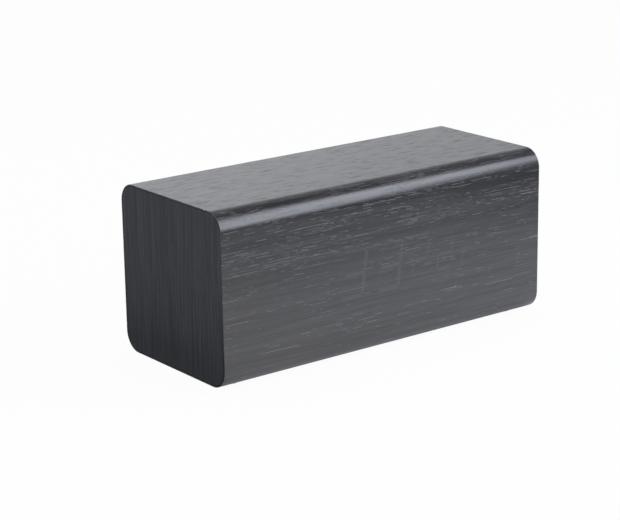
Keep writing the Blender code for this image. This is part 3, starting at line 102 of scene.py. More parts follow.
class Value:
    """One socket of a node tree, on which Python's arithmetic adds Math nodes."""

    def __init__(self, graph: "Graph", socket: bpy.types.NodeSocket) -> None:
        """Hold a socket and the graph that it belongs to."""
        self.graph = graph
        self.socket = socket

    def __add__(self, other: "Value | float") -> "Value":
        """Sum."""
        return self.graph.math("ADD", self, other)

    __radd__ = __add__

    def __sub__(self, other: "Value | float") -> "Value":
        """Difference."""
        return self.graph.math("SUBTRACT", self, other)

    def __rsub__(self, other: "Value | float") -> "Value":
        """Difference from a number."""
        return self.graph.math("SUBTRACT", other, self)

    def __mul__(self, other: "Value | float") -> "Value":
        """Product."""
        return self.graph.math("MULTIPLY", self, other)

    __rmul__ = __mul__

    def __truediv__(self, other: "Value | float") -> "Value":
        """Quotient."""
        return self.graph.math("DIVIDE", self, other)

    def __gt__(self, other: "Value | float") -> "Value":
        """One where this value is the greater, and zero elsewhere."""
        return self.graph.math("GREATER_THAN", self, other)

    def __lt__(self, other: "Value | float") -> "Value":
        """One where this value is the lesser, and zero elsewhere."""
        return self.graph.math("LESS_THAN", self, other)

    def __abs__(self) -> "Value":
        """Size without sign."""
        return self.graph.math("ABSOLUTE", self)

    def floor(self) -> "Value":
        """The whole number below."""
        return self.graph.math("FLOOR", self)

    def most(self, other: "Value | float") -> "Value":
        """The greater of two values."""
        return self.graph.math("MAXIMUM", self, other)

    def rise(self, low: float, high: float) -> "Value":
        """A smooth step from 0 at low to 1 at high, which may be the smaller of the two."""
        ends = {"Value": self, "From Min": low, "From Max": high}
        made = self.graph.node("ShaderNodeMapRange", {"interpolation_type": "SMOOTHSTEP"}, ends)
        return Value(self.graph, made.outputs["Result"])

    def between(self, low: float, high: float, blur: float) -> "Value":
        """1 between two limits and 0 outside them, softened over the blur to each side."""
        return self.rise(low - blur, low + blur) * self.rise(high + blur, high - blur)


class Graph:
    """A node tree built from plain calls."""

    def __init__(self, tree: bpy.types.NodeTree) -> None:
        """Hold the tree."""
        self.tree = tree

    def feed(self, socket: bpy.types.NodeSocket, given: Any) -> None:
        """Link a value or a socket to an input, or set the input's own value.

        Args:
            socket: the input.
            given: a Value, an output socket, a number, a colour, a vector or a name.
        """
        if isinstance(given, Value):
            self.tree.links.new(given.socket, socket)
        elif isinstance(given, bpy.types.NodeSocket):
            self.tree.links.new(given, socket)
        elif socket.type == "RGBA":
            socket.default_value = (*given, 1.0)
        else:
            socket.default_value = given

    def node(
        self,
        kind: str,
        settings: dict[str, Any] | None = None,
        inputs: dict[str | int, Any] | None = None,
    ) -> bpy.types.Node:
        """Add any node.

        Args:
            kind: the node's type.
            settings: its properties, which are set first.
            inputs: the values or links of its sockets, by name or place.

        Returns:
            The new node.
        """
        made = self.tree.nodes.new(kind)
        for name, setting in (settings or {}).items():
            setattr(made, name, setting)
        for name, given in (inputs or {}).items():
            self.feed(made.inputs[name], given)
        return made

    def math(self, operation: str, *values: "Value | float") -> Value:
        """A Math node on values or numbers."""
        made = self.node("ShaderNodeMath", {"operation": operation}, dict(enumerate(values)))
        return Value(self, made.outputs[0])

    def mix(self, share: "Value | float", first: Any, second: Any) -> bpy.types.NodeSocket:
        """A colour between two colours.

        Args:
            share: how much of the second colour there is.
            first: a colour or a socket.
            second: a colour or a socket.

        Returns:
            The mixed colour.
        """
        factor, colour_a, colour_b = 0, 6, 7
        sockets = {factor: share, colour_a: first, colour_b: second}
        made = self.node("ShaderNodeMix", {"data_type": "RGBA"}, sockets)
        return made.outputs[2]

    def split(self, vector: bpy.types.NodeSocket) -> tuple[Value, Value, Value]:
        """A vector's X, Y and Z."""
        parts = self.node("ShaderNodeSeparateXYZ", inputs={"Vector": vector})
        return tuple(Value(self, parts.outputs[axis]) for axis in "XYZ")

    def rays(self) -> tuple[Value, Value]:
        """Tell the kinds of light ray apart.

        Returns:
            Two masks: the camera's own rays, and those that reach it mirrored or through glass.
        """
        path = self.node("ShaderNodeLightPath")
        kinds = ("Is Camera Ray", "Is Glossy Ray", "Is Transmission Ray")
        camera, glossy, through = (Value(self, path.outputs[kind]) for kind in kinds)
        return camera, glossy.most(through)


class Shader(Graph):
    """A material's node tree."""

    def __init__(self, name: str, roughness: float = 0.5, metallic: float = 0.0) -> None:
        """Start a material with its Principled shader.

        Args:
            name: the material's name.
            roughness: the surface's plain roughness.
            metallic: 1 for bare metal.
        """
        self.material = bpy.data.materials.new(name)
        self.material.use_nodes = True
        super().__init__(self.material.node_tree)
        self.surface = self.tree.nodes["Principled BSDF"]
        self.surface.inputs["Roughness"].default_value = roughness
        self.surface.inputs["Metallic"].default_value = metallic

    def set(self, **inputs: Any) -> None:
        """Feed the Principled shader's sockets, named with _ for each space."""
        for name, given in inputs.items():
            self.feed(self.surface.inputs[name.replace("_", " ")], given)

    def place(self) -> tuple[Value, Value, Value]:
        """The object's own X, Y and Z."""
        return self.split(self.node("ShaderNodeTexCoord").outputs["Object"])

    def map(self, name: str) -> tuple[Value, Value]:
        """The two coordinates of a UV map."""
        across, up, _ = self.split(self.node("ShaderNodeUVMap", {"uv_map": name}).outputs["UV"])
        return across, up

    def noise(self, *coordinates: "Value | float", detail: float = 2.0, roughness: float = 0.5) -> Value:
        """Soft noise about 0.5.

        Args:
            coordinates: two or three coordinates, already scaled to the noise's grain.
            detail: how many finer octaves are added.
            roughness: how strong they are.

        Returns:
            The noise, from 0 to 1.
        """
        point = self.node("ShaderNodeCombineXYZ", inputs=dict(enumerate(coordinates)))
        settings = {"noise_dimensions": f"{len(coordinates)}D"}
        inputs = {"Vector": point.outputs[0], "Scale": 1.0, "Detail": detail, "Roughness": roughness}
        return Value(self, self.node("ShaderNodeTexNoise", settings, inputs).outputs["Fac"])

    def grain(
        self, along: Value, across: Value, cells: Point, detail: float = 2.0, roughness: float = 0.5
    ) -> Value:
        """Noise with so many cells to the metre along a grain and across it."""
        return self.noise(along * cells[0], across * cells[1], detail=detail, roughness=roughness)

    def cloud(self, scale: float, detail: float = 2.0, roughness: float = 0.5) -> Value:
        """Noise with the same grain in all directions, so many cells to the metre."""
        return self.noise(*(axis * scale for axis in self.place()), detail=detail, roughness=roughness)

    def chance(self, *coordinates: "Value | float") -> tuple[Value, Value, Value]:
        """Random numbers that stay the same inside a cell.

        Args:
            coordinates: the cell's whole-numbered coordinates, and a seed.

        Returns:
            Three even random numbers from 0 to 1.
        """
        point = self.node("ShaderNodeCombineXYZ", inputs=dict(enumerate(coordinates)))
        dice = self.node("ShaderNodeTexWhiteNoise", {"noise_dimensions": "3D"}, {"Vector": point.outputs[0]})
        parts = self.node("ShaderNodeSeparateColor", inputs={"Color": dice.outputs["Color"]})
        return tuple(Value(self, parts.outputs[channel]) for channel in ("Red", "Green", "Blue"))

    def bump(self, height: Value, depth: float, strength: float = 1.0) -> None:
        """Dent or raise the surface by a height map.

        Args:
            height: the map.
            depth: metres for one unit of height.
            strength: how much of the bend is used.
        """
        inputs = {"Height": height, "Distance": depth, "Strength": strength}
        self.set(Normal=self.node("ShaderNodeBump", inputs=inputs).outputs["Normal"])


@dataclass(frozen=True)
class PoreLayer:
    """Open pores of one size: short dashes along the grain, one to a staggered cell.

    Pitch and row are a cell's length and height in metres. Shares are of that length or height.
    """

    STAGGER = 9.0
    END_BLUR = 0.06
    CORE_SHARE = 0.45
    FAINTEST = 0.25

    pitch: float
    row: float
    shortest_share: float
    spread_share: float
    thickness_share: float
    density: float
    seed: float
    jitter: float = 0.5

    def draw(self, shader: Shader, along: Value, across: Value, crowd: Value) -> Value:
        """The dashes as a mask.

        Args:
            shader: the material that they go on.
            along: metres along the grain.
            across: metres across it.
            crowd: from 0, no pores, to 1, all that the density allows.

        Returns:
            1 in the middle of a strong pore and 0 between pores.
        """
        row_place = across / self.row
        row = row_place.floor()
        stagger = shader.chance(row, self.seed, self.seed)[0]
        cell_place = along / self.pitch + stagger * self.STAGGER
        cell = cell_place.floor()
        lot, length, depth = shader.chance(cell, row, self.seed)
        shift = (shader.chance(cell, row, self.seed + 0.5)[0] - 0.5) * self.jitter
        half = length * self.spread_share / 2 + self.shortest_share / 2
        off_middle = abs(cell_place - cell - 0.5)
        off_row = abs(row_place - row - 0.5 + shift)
        lengthwise = (half - off_middle).rise(0.0, self.END_BLUR)
        crosswise = off_row.rise(self.thickness_share, self.thickness_share * self.CORE_SHARE)
        present = lot < crowd * self.density
        strength = depth * depth * (1.0 - self.FAINTEST) + self.FAINTEST
        return lengthwise * crosswise * present * strength


def strongest(masks: Iterable[Value]) -> Value:
    """The greatest of several masks at each point."""
    return reduce(Value.most, masks)


@dataclass(frozen=True)
class DigitRow:
    """Four unlit seven-stroke digits that show faintly through the veneer, in metres.

    In the lower half, lower_side is 1 where the right upright is the clearer one and -1 where it is the left.
    """

    FAR_UPRIGHT = 0.16
    HEAD_BAR = 0.35
    MIDDLE_BAR = 1.25

    start: float
    pitch: float
    width: float
    height: float
    stroke: float
    slant: float = math.tan(math.radians(8.1))
    middle: float = 0.0459
    count: int = 4
    land: float = 0.0006
    blur: float = 0.0011
    lower_side: float = 1.0

    def within(self, offset: Value, half: float) -> Value:
        """1 less than half from a middle line and 0 farther off, with a soft edge."""
        return offset.rise(half + self.blur / 2, half - self.blur / 2)

    def draw(self, x: Value, z: Value) -> Value:
        """The strokes as a mask.

        Args:
            x: metres to the right of the clock's middle.
            z: metres above the ground.

        Returns:
            1 on the clearest stroke and 0 off the strokes.
        """
        rise = z - self.middle
        place = (x - rise * self.slant - self.start) / self.pitch + 0.5
        index = place.floor()
        inside = (index > -0.5) * (index < self.count - 0.5)
        local = (place - index - 0.5) * self.pitch
        level = abs(rise)
        below = rise < 0.0
        half = self.stroke / 2
        on_side = self.within(abs(abs(local) - self.width / 2), half)
        lengthwise = self.within(abs(level - self.height / 4), self.height / 4 - self.land)
        side = below * (self.lower_side - 1.0) + 1.0
        clear = (local * side > 0.0) * (1.0 - self.FAR_UPRIGHT) + self.FAR_UPRIGHT
        uprights = on_side * lengthwise * clear
        ends = self.within(abs(level - self.height / 2), half)
        ends = ends * (below * (1.0 - self.HEAD_BAR) + self.HEAD_BAR)
        bars = ends + self.within(level, half) * self.MIDDLE_BAR
        crossbars = bars * self.within(abs(local), self.width / 2 - self.land)
        return (uprights + crossbars) * inside


@dataclass(frozen=True)
class VeneerFinish:
    """Black-stained open-grain veneer with a satin lacquer.

    The pairs of constants are grains: how many cells a noise has to the metre, along the wood and across it.
    """

    FLOW = (5.0, 12.0)
    BROAD = (6.0, 240.0)
    FINE = (20.0, 1000.0)
    RIPPLE = (190.0, 900.0)
    GRIT = (1500.0, 3200.0)
    DULL = (75.0, 520.0)
    END_CROWD = (30.0, 90.0)
    SWAY = 0.0024
    RELIEF = 0.00012
    LACQUER_ROUGHNESS = 0.25
    PORE_DULLNESS = 0.30
    GRIT_DULLNESS = 0.08
    DULL_END = 0.08

    name: str
    stain: Colour
    streak_stain: Colour
    pore_tone: Colour
    roughness: float
    specular: float
    streak_strength: float
    pore_strength: float
    bump_strength: float
    broad_share: float
    lacquer: float
    pores: tuple[PoreLayer, ...]

    def streaks(self, shader: Shader, along: Value, across: Value) -> Value:
        """Long soft bands along the grain.

        Args:
            shader: the material.
            along: metres along the grain.
            across: metres across it.

        Returns:
            A mask from 0, the dark stain, to 1, the paler one.
        """
        broad = shader.grain(along, across, self.BROAD)
        fine = shader.grain(along, across, self.FINE, 3.0, 0.6)
        return (broad * self.broad_share + fine * (1.0 - self.broad_share)).rise(0.34, 0.66)

    def dress(self, shader: Shader, along: Value, across: Value, crowd: Value, matt: "Value | float") -> Any:
        """Stain, pores, gloss and relief.

        Args:
            shader: the material.
            along: metres along the grain.
            across: metres across it.
            crowd: how crowded the pores are, from 0 to 1.
            matt: how matt the duller patches are, added to the roughness.

        Returns:
            The colour.
        """
        flow = across + shader.grain(along, across, self.FLOW, 1.0) * self.SWAY
        streaks = self.streaks(shader, along, flow)
        pores = strongest(layer.draw(shader, along, flow, crowd) for layer in self.pores)
        ripple = shader.grain(along, flow, self.RIPPLE)
        grit = shader.grain(along, flow, self.GRIT, 1.0)
        dull = shader.grain(along, flow, self.DULL, 3.0, 0.65).rise(0.50, 0.70)
        wood = shader.mix(streaks * self.streak_strength, self.stain, self.streak_stain)
        colour = shader.mix(pores * self.pore_strength, wood, self.pore_tone)
        duller = pores * self.PORE_DULLNESS + dull * matt + grit * self.GRIT_DULLNESS
        height = ripple * 0.14 + grit * 0.05 + streaks * 0.10 - pores * 0.7
        shader.bump(height, self.RELIEF, self.bump_strength)
        shader.set(
            Roughness=duller + self.roughness - self.GRIT_DULLNESS / 2, Specular_IOR_Level=self.specular,
            Coat_Weight=self.lacquer, Coat_Roughness=self.LACQUER_ROUGHNESS,
        )
        return colour

    def plain(self) -> bpy.types.Material:
        """Build the finish with upright grain, for the let-in ends.

        Returns:
            The finished material.
        """
        shader = Shader(self.name, self.roughness)
        _, y, z = shader.place()
        crowd = shader.grain(z, y, self.END_CROWD)
        shader.set(Base_Color=self.dress(shader, z, y, crowd, self.DULL_END))
        return shader.material


@dataclass(frozen=True)
class WrapFinish(VeneerFinish):
    """The veneer that wraps the block, with its worn ends and the display behind its front.

    Top gives the places of the flat top's edges on the way round the block, and panel the display's left,
    low, right and high edges. Fewer_down and fewer_right say where the pores begin and cease to thin out,
    round the block and along it. Clearest and second say where strokes show: the middle, and how far from it
    they are at their faintest and at their clearest.
    """

    DRIFT = (9.0, 120.0)
    PATCH = (7.0, 22.0)
    PATCH_SHIFT = 4.0
    FEWEST_DOWN = 0.20
    DROP_RIGHT = 0.35
    CHIPS = (900.0, 420.0)
    SECOND_SHARE = 0.75
    DULL_SIDES = 0.02
    DULL_TOP = 0.17
    PANEL_STRENGTH = 0.12
    UNSEEN = 0.15

    grain_map: str = "grain"
    top: Point = (0.1337, 0.2063)
    top_blur: float = 0.002
    fewer_down: Point = (0.228, 0.272)
    fewer_right: Point = (-0.02, 0.09)
    front_plane: float = -0.0443
    digits: tuple[DigitRow, ...] = ()
    ghost_tone: Colour = (0.072, 0.077, 0.090)
    ghost_strength: float = 0.5
    panel_tone: Colour = (0.018, 0.018, 0.020)
    panel: tuple[float, float, float, float] = (-0.0835, 0.0335, 0.0800, 0.0628)
    panel_blur: float = 0.0008
    clearest: tuple[float, float, float] = (-0.008, 0.031, 0.016)
    second: tuple[float, float, float] = (0.036, 0.030, 0.004)
    chip_tone: Colour = (0.36, 0.34, 0.31)
    end: float = 0.105
    chip_width: float = 0.0004

    def crowding(self, shader: Shader, along: Value, around: Value) -> Value:
        """Where the pores crowd: in long drifts, thinning out to the right and down the front.

        Args:
            shader: the material.
            along: metres along the block, from its middle.
            around: metres round its section, from the seam.

        Returns:
            A mask from 0, no pores, to 1.
        """
        drift = shader.grain(along, around, self.DRIFT, roughness=0.6).rise(0.38, 0.64)
        wide, high = self.PATCH
        patch = shader.noise(along * wide + self.PATCH_SHIFT, around * high, detail=1.0).rise(0.34, 0.60)
        begin, cease = self.fewer_down
        down = around.rise(cease, begin) * (1.0 - self.FEWEST_DOWN) + self.FEWEST_DOWN
        right = 1.0 - along.rise(*self.fewer_right) * self.DROP_RIGHT
        return (drift * 0.6 + patch * 0.35 + 0.05) * (down * right)

    def display(self, shader: Shader) -> tuple[Value, Value]:
        """What shows of the display through the front.

        Args:
            shader: the material.

        Returns:
            A mask of its panel, and one of its unlit strokes.
        """
        x, y, z = shader.place()
        front = y < self.front_plane
        left, low, right, high = self.panel
        panel = x.between(left, right, self.panel_blur) * z.between(low, high, self.panel_blur) * front
        strokes = strongest(row.draw(x, z) for row in self.digits)
        return panel, strokes * front * self.clearness(x)

    def clearness(self, x: Value) -> Value:
        """How well the strokes show: best left of the middle, fading towards both ends."""
        main, second = (abs(x - middle).rise(*reach) for middle, *reach in (self.clearest, self.second))
        return main.most(second * self.SECOND_SHARE) * (1.0 - self.UNSEEN) + self.UNSEEN

    def chips(self, shader: Shader, along: Value, around: Value) -> Value:
        """Small splinters off the stain at the veneer's cut ends.

        Args:
            shader: the material.
            along: metres along the block, from its middle.
            around: metres round its section, from the seam.

        Returns:
            Their mask.
        """
        edge = (abs(along) > self.end - self.chip_width) * 1.0
        along_cells, around_cells = self.CHIPS
        spots = shader.noise(around * around_cells, along * along_cells, roughness=0.7)
        return edge * spots.rise(0.70, 0.74)

    def material(self) -> bpy.types.Material:
        """Build the finish.

        Returns:
            The finished material.
        """
        shader = Shader(self.name, self.roughness)
        along, around = shader.map(self.grain_map)
        matt = around.between(*self.top, self.top_blur) * self.DULL_TOP + self.DULL_SIDES
        colour = self.dress(shader, along, around, self.crowding(shader, along, around), matt)
        panel, strokes = self.display(shader)
        colour = shader.mix(panel * self.PANEL_STRENGTH, colour, self.panel_tone)
        colour = shader.mix(strokes * self.ghost_strength, colour, self.ghost_tone)
        colour = shader.mix(self.chips(shader, along, around), colour, self.chip_tone)
        shader.set(Base_Color=colour)
        return shader.material


@dataclass(frozen=True)
class PlasticFinish:
    """Moulded plastic with a fine spark-eroded texture."""

    CLOUD = 60.0
    LIGHTER = 1.6
    LIFT = 0.004
    CLOUD_DULLNESS = 0.12
    GRAIN_DULLNESS = 0.08

    name: str
    colour: Colour
    roughness: float
    texture: float = 0.00002
    grain: float = 3500.0

    def material(self) -> bpy.types.Material:
        """Build the finish.

        Returns:
            The finished material.
        """
        shader = Shader(self.name, self.roughness)
        grain = shader.cloud(self.grain)
        cloud = shader.cloud(self.CLOUD, detail=3.0)
        lighter = tuple(channel * self.LIGHTER + self.LIFT for channel in self.colour)
        duller = cloud * self.CLOUD_DULLNESS + grain * self.GRAIN_DULLNESS + self.roughness
        shader.set(
            Base_Color=shader.mix(cloud * 0.5, self.colour, lighter),
            Roughness=duller - (self.CLOUD_DULLNESS + self.GRAIN_DULLNESS) / 2,
        )
        shader.bump(grain, self.texture)
        return shader.material


@dataclass(frozen=True)
class MetalFinish:
    """Plated or brushed metal."""

    STAIN = 120.0
    DARKER = 0.72
    LINE_DULLNESS = 0.16
    STAIN_DULLNESS = 0.10
    RELIEF = 0.000004

    name: str
    colour: Colour
    roughness: float
    brush: tuple[float, float, float] = (900.0, 900.0, 900.0)

    def material(self) -> bpy.types.Material:
        """Build the finish.

        Returns:
            The finished material.
        """
        shader = Shader(self.name, self.roughness, 1.0)
        x, y, z = shader.place()
        across, deep, high = self.brush
        lines = shader.noise(x * across, y * deep, z * high, detail=3.0)
        stain = shader.cloud(self.STAIN, detail=4.0)
        darker = tuple(channel * self.DARKER for channel in self.colour)
        duller = lines * self.LINE_DULLNESS + stain * self.STAIN_DULLNESS + self.roughness
        shader.set(
            Base_Color=shader.mix(stain.rise(0.45, 0.75), self.colour, darker),
            Roughness=duller - (self.LINE_DULLNESS + self.STAIN_DULLNESS) / 2,
        )
        shader.bump(lines, self.RELIEF)
        return shader.material


@dataclass(frozen=True)
class FibreboardFinish:
    """Sawn fibreboard: a brown felt of short fibres."""

    FELT = 1800.0
    FLECK = 700.0
    FLECK_UP = 2600.0
    RELIEF = 0.00006

    name: str
    colour: Colour
    dark: Colour

    def material(self) -> bpy.types.Material:
        """Build the finish.

        Returns:
            The finished material.
        """
        shader = Shader(self.name, 0.85)
        x, y, z = shader.place()
        felt = shader.cloud(self.FELT, detail=3.0, roughness=0.7)
        flecks = shader.noise(x * self.FLECK, y * self.FLECK, z * self.FLECK_UP)
        paler = (felt * 0.6 + flecks * 0.5).rise(0.35, 0.75)
        shader.set(Base_Color=shader.mix(paler, self.dark, self.colour))
        shader.bump(felt + flecks * 0.5, self.RELIEF)
        return shader.material


@dataclass(frozen=True)
class CircuitFinish:
    """Green lacquered board with copper tracks under the lacquer, on some of the lanes that fit on it."""

    BARE_SHARE = 0.45
    TRACK_EDGE = (0.16, 0.12)
    CLOUD = (300.0, 300.0)
    SEED = 4.0
    RELIEF = 0.00002

    name: str
    lacquer: Colour
    track: Colour
    pitch: float = 0.0025
    track_length: float = 0.011

    def material(self) -> bpy.types.Material:
        """Build the finish.

        Returns:
            The finished material.
        """
        shader = Shader(self.name, 0.35)
        x, _, z = shader.place()
        lane_place = z / self.pitch
        lane = lane_place.floor()
        lot = shader.chance(lane, (x / self.track_length).floor(), self.SEED)[0]
        off_lane = abs(lane_place - lane - 0.5)
        tracks = off_lane.rise(*self.TRACK_EDGE) * (lot > self.BARE_SHARE)
        cloud = shader.grain(x, z, self.CLOUD)
        shader.set(
            Base_Color=shader.mix(tracks * 0.7 + cloud * 0.15, self.lacquer, self.track),
            Roughness=cloud * 0.1 + 0.3,
        )
        shader.bump(tracks, self.RELIEF)
        return shader.material


@dataclass(frozen=True)
class RibbonFinish:
    """Flat cable of parallel wires, with one marked edge."""

    GROOVE_EDGE = (0.36, 0.48)
    SHEEN = (900.0, 200.0)
    RELIEF = 0.0002

    name: str
    colour: Colour
    # painted shade: the darker grey of the grooves between the wires
    groove: Colour
    mark: Colour
    pitch: float = 0.00125
    marked_edge: float = -0.0468

    def material(self) -> bpy.types.Material:
        """Build the finish.

        Returns:
            The finished material.
        """
        shader = Shader(self.name, 0.5)
        x, y, _ = shader.place()
        place = x / self.pitch
        off_wire = abs(place - place.floor() - 0.5)
        # Painted shade: the grooves between the wires are darker.
        grey = shader.mix(off_wire.rise(*self.GROOVE_EDGE), self.colour, self.groove)
        shader.set(
            Base_Color=shader.mix(x < self.marked_edge, grey, self.mark),
            Roughness=shader.grain(x, y, self.SHEEN) * 0.2 + 0.4,
        )
        shader.bump(1.0 - off_wire * 2.0, self.RELIEF)
        return shader.material


@dataclass(frozen=True)
class JacketFinish:
    """A cell's printed metallic film: dark, with a warm band towards its nub."""

    CREASE = 160.0
    CREASE_ROUND = 700.0
    RELIEF = 0.00003

    name: str
    dark: Colour
    band: Colour
    middle: float
    nub_side: int
    band_start: Point = (0.0085, 0.0087)

    def material(self) -> bpy.types.Material:
        """Build the finish.

        Returns:
            The finished material.
        """
        shader = Shader(self.name, 0.28, 0.6)
        x, y, z = shader.place()
        along = (x - self.middle) * float(self.nub_side)
        band = along.rise(*self.band_start)
        creases = shader.noise(x * self.CREASE, y * self.CREASE_ROUND, z * self.CREASE_ROUND)
        shader.set(
            Base_Color=shader.mix(band, self.dark, self.band),
            Roughness=creases * 0.14 + 0.22,
        )
        shader.bump(creases, self.RELIEF)
        return shader.material


class Finishes:
    """All finishes of the clock, each made once."""

    def __init__(self) -> None:
        """Make the materials."""
        pores = (
            PoreLayer(0.0105, 0.00120, 0.30, 0.62, 0.12, 0.80, 1.0, 0.35),
            PoreLayer(0.0052, 0.00085, 0.25, 0.60, 0.15, 0.55, 2.0, 0.45),
            PoreLayer(0.0280, 0.00170, 0.40, 0.60, 0.08, 0.60, 3.0, 0.30),
        )
        end_pores = (
            PoreLayer(0.0080, 0.00090, 0.25, 0.65, 0.20, 0.80, 11.0),
            PoreLayer(0.0034, 0.00060, 0.25, 0.60, 0.24, 0.60, 12.0),
        )
        digits = (
            DigitRow(start=-0.0707, pitch=0.0237, width=0.0131, height=0.0240, stroke=0.0018),
            DigitRow(
                start=0.0209, pitch=0.0169, width=0.0089, height=0.0166, stroke=0.0016, lower_side=-1.0,
            ),
        )
        self.wrap = WrapFinish(
            name="wrap_veneer", stain=(0.0155, 0.0150, 0.0165), streak_stain=(0.047, 0.0455, 0.0480),
            pore_tone=(0.270, 0.270, 0.280), roughness=0.30, specular=1.0, streak_strength=1.0,
            pore_strength=0.95, bump_strength=0.70, broad_share=0.45, lacquer=0.35, pores=pores,
            digits=digits,
        ).material()
        self.end = VeneerFinish(
            name="end_veneer", stain=(0.041, 0.042, 0.047), streak_stain=(0.080, 0.082, 0.091),
            pore_tone=(0.115, 0.118, 0.126), roughness=0.52, specular=0.35, streak_strength=0.9,
            pore_strength=0.6, bump_strength=0.35, broad_share=0.2, lacquer=0.0, pores=end_pores,
        ).plain()
        self.fibreboard = FibreboardFinish(
            "sawn_fibreboard", (0.40, 0.28, 0.18), (0.24, 0.16, 0.10)
        ).material()
        self.pad = PlasticFinish("pad_rubber", (0.020, 0.020, 0.020), 0.9, 0.00006, 2200.0).material()
        self.film = PlasticFinish("diffuser_film", (0.62, 0.62, 0.60), 0.6, 0.00001).material()
        self.mask = PlasticFinish("segment_mask", (0.040, 0.040, 0.044), 0.55).material()
        self.circuit = CircuitFinish("circuit_lacquer", (0.012, 0.115, 0.045), (0.10, 0.34, 0.13)).material()
        self.steel = MetalFinish("zinc_plate", (0.56, 0.56, 0.57), 0.36).material()
        self.black_steel = MetalFinish("blackened_screw", (0.075, 0.075, 0.080), 0.42).material()
        self.nickel = MetalFinish("nickel_spring", (0.68, 0.66, 0.60), 0.26).material()
        self.chip = PlasticFinish("chip_plastic", (0.020, 0.020, 0.022), 0.6, 0.00003, 5000.0).material()
        self.back = PlasticFinish("back_plastic", (0.028, 0.028, 0.030), 0.48, 0.00004, 2600.0).material()
        self.key = PlasticFinish("key_plastic", (0.060, 0.061, 0.065), 0.38, 0.00001).material()
        self.mark = PlasticFinish("pale_mark", (0.50, 0.51, 0.52), 0.5, 0.00001).material()
        self.sleeve = PlasticFinish("capacitor_sleeve", (0.035, 0.060, 0.150), 0.35, 0.00001).material()
        # The flat cable's second grey is painted shade in the grooves between its wires.
        self.ribbon = RibbonFinish(
            "flat_cable", (0.42, 0.43, 0.45), (0.25, 0.26, 0.28), (0.50, 0.05, 0.04)
        ).material()
        self.red = PlasticFinish("red_insulation", (0.42, 0.025, 0.025), 0.42, 0.00001).material()
        self.black = PlasticFinish("black_insulation", (0.020, 0.020, 0.020), 0.42, 0.00001).material()


class GeometryProgram(Graph):
    """A Geometry Nodes tree with named inputs, run once to make a plain mesh."""

    KINDS = {
        int: "NodeSocketInt",
        float: "NodeSocketFloat",
        Vector: "NodeSocketVector",
        bpy.types.Material: "NodeSocketMaterial",
    }

    def __init__(self, name: str, sizes: dict[str, Any]) -> None:
        """Start a tree with its inputs.

        Args:
            name: the tree's name.
            sizes: the value of each input, by name.
        """
        super().__init__(bpy.data.node_groups.new(name, "GeometryNodeTree"))
        face = self.tree.interface
        face.new_socket("Geometry", in_out="INPUT", socket_type="NodeSocketGeometry")
        face.new_socket("Geometry", in_out="OUTPUT", socket_type="NodeSocketGeometry")
        self.values: dict[str, Any] = {}
        for size_name, size in sizes.items():
            kind = self.KINDS[type(size)]
            socket = face.new_socket(size_name, in_out="INPUT", socket_type=kind)
            self.values[socket.identifier] = size
        self.start = self.tree.nodes.new("NodeGroupInput")

    def size(self, name: str) -> Value:
        """A named input."""
        return Value(self, self.start.outputs[name])

    def run(
        self, name: str, shape: bpy.types.NodeSocket, base: bpy.types.Object | None = None
    ) -> bpy.types.Object:
        """End the tree, run it and keep its result as a plain mesh.

        Args:
            name: the new object's name.
            shape: the geometry to keep.
            base: the object that the tree works on, which is removed; an empty mesh if none.

        Returns:
            The new object, at the origin.
        """
        real = self.node("GeometryNodeRealizeInstances", inputs={"Geometry": shape})
        dressed = self.node(
            "GeometryNodeSetMaterial",
            inputs={"Geometry": real.outputs[0], "Material": self.size("Material")},
        )
        end = self.tree.nodes.new("NodeGroupOutput")
        self.tree.links.new(dressed.outputs[0], end.inputs[0])
        if base is None:
            base = Workshop.placed("base", bpy.data.meshes.new("base"))
        modifier = base.modifiers.new("program", "NODES")
        modifier.node_group = self.tree
        for identifier, size in self.values.items():
            modifier[identifier] = size
        made = Workshop.baked(base)
        made.name = made.data.name = name
        return made


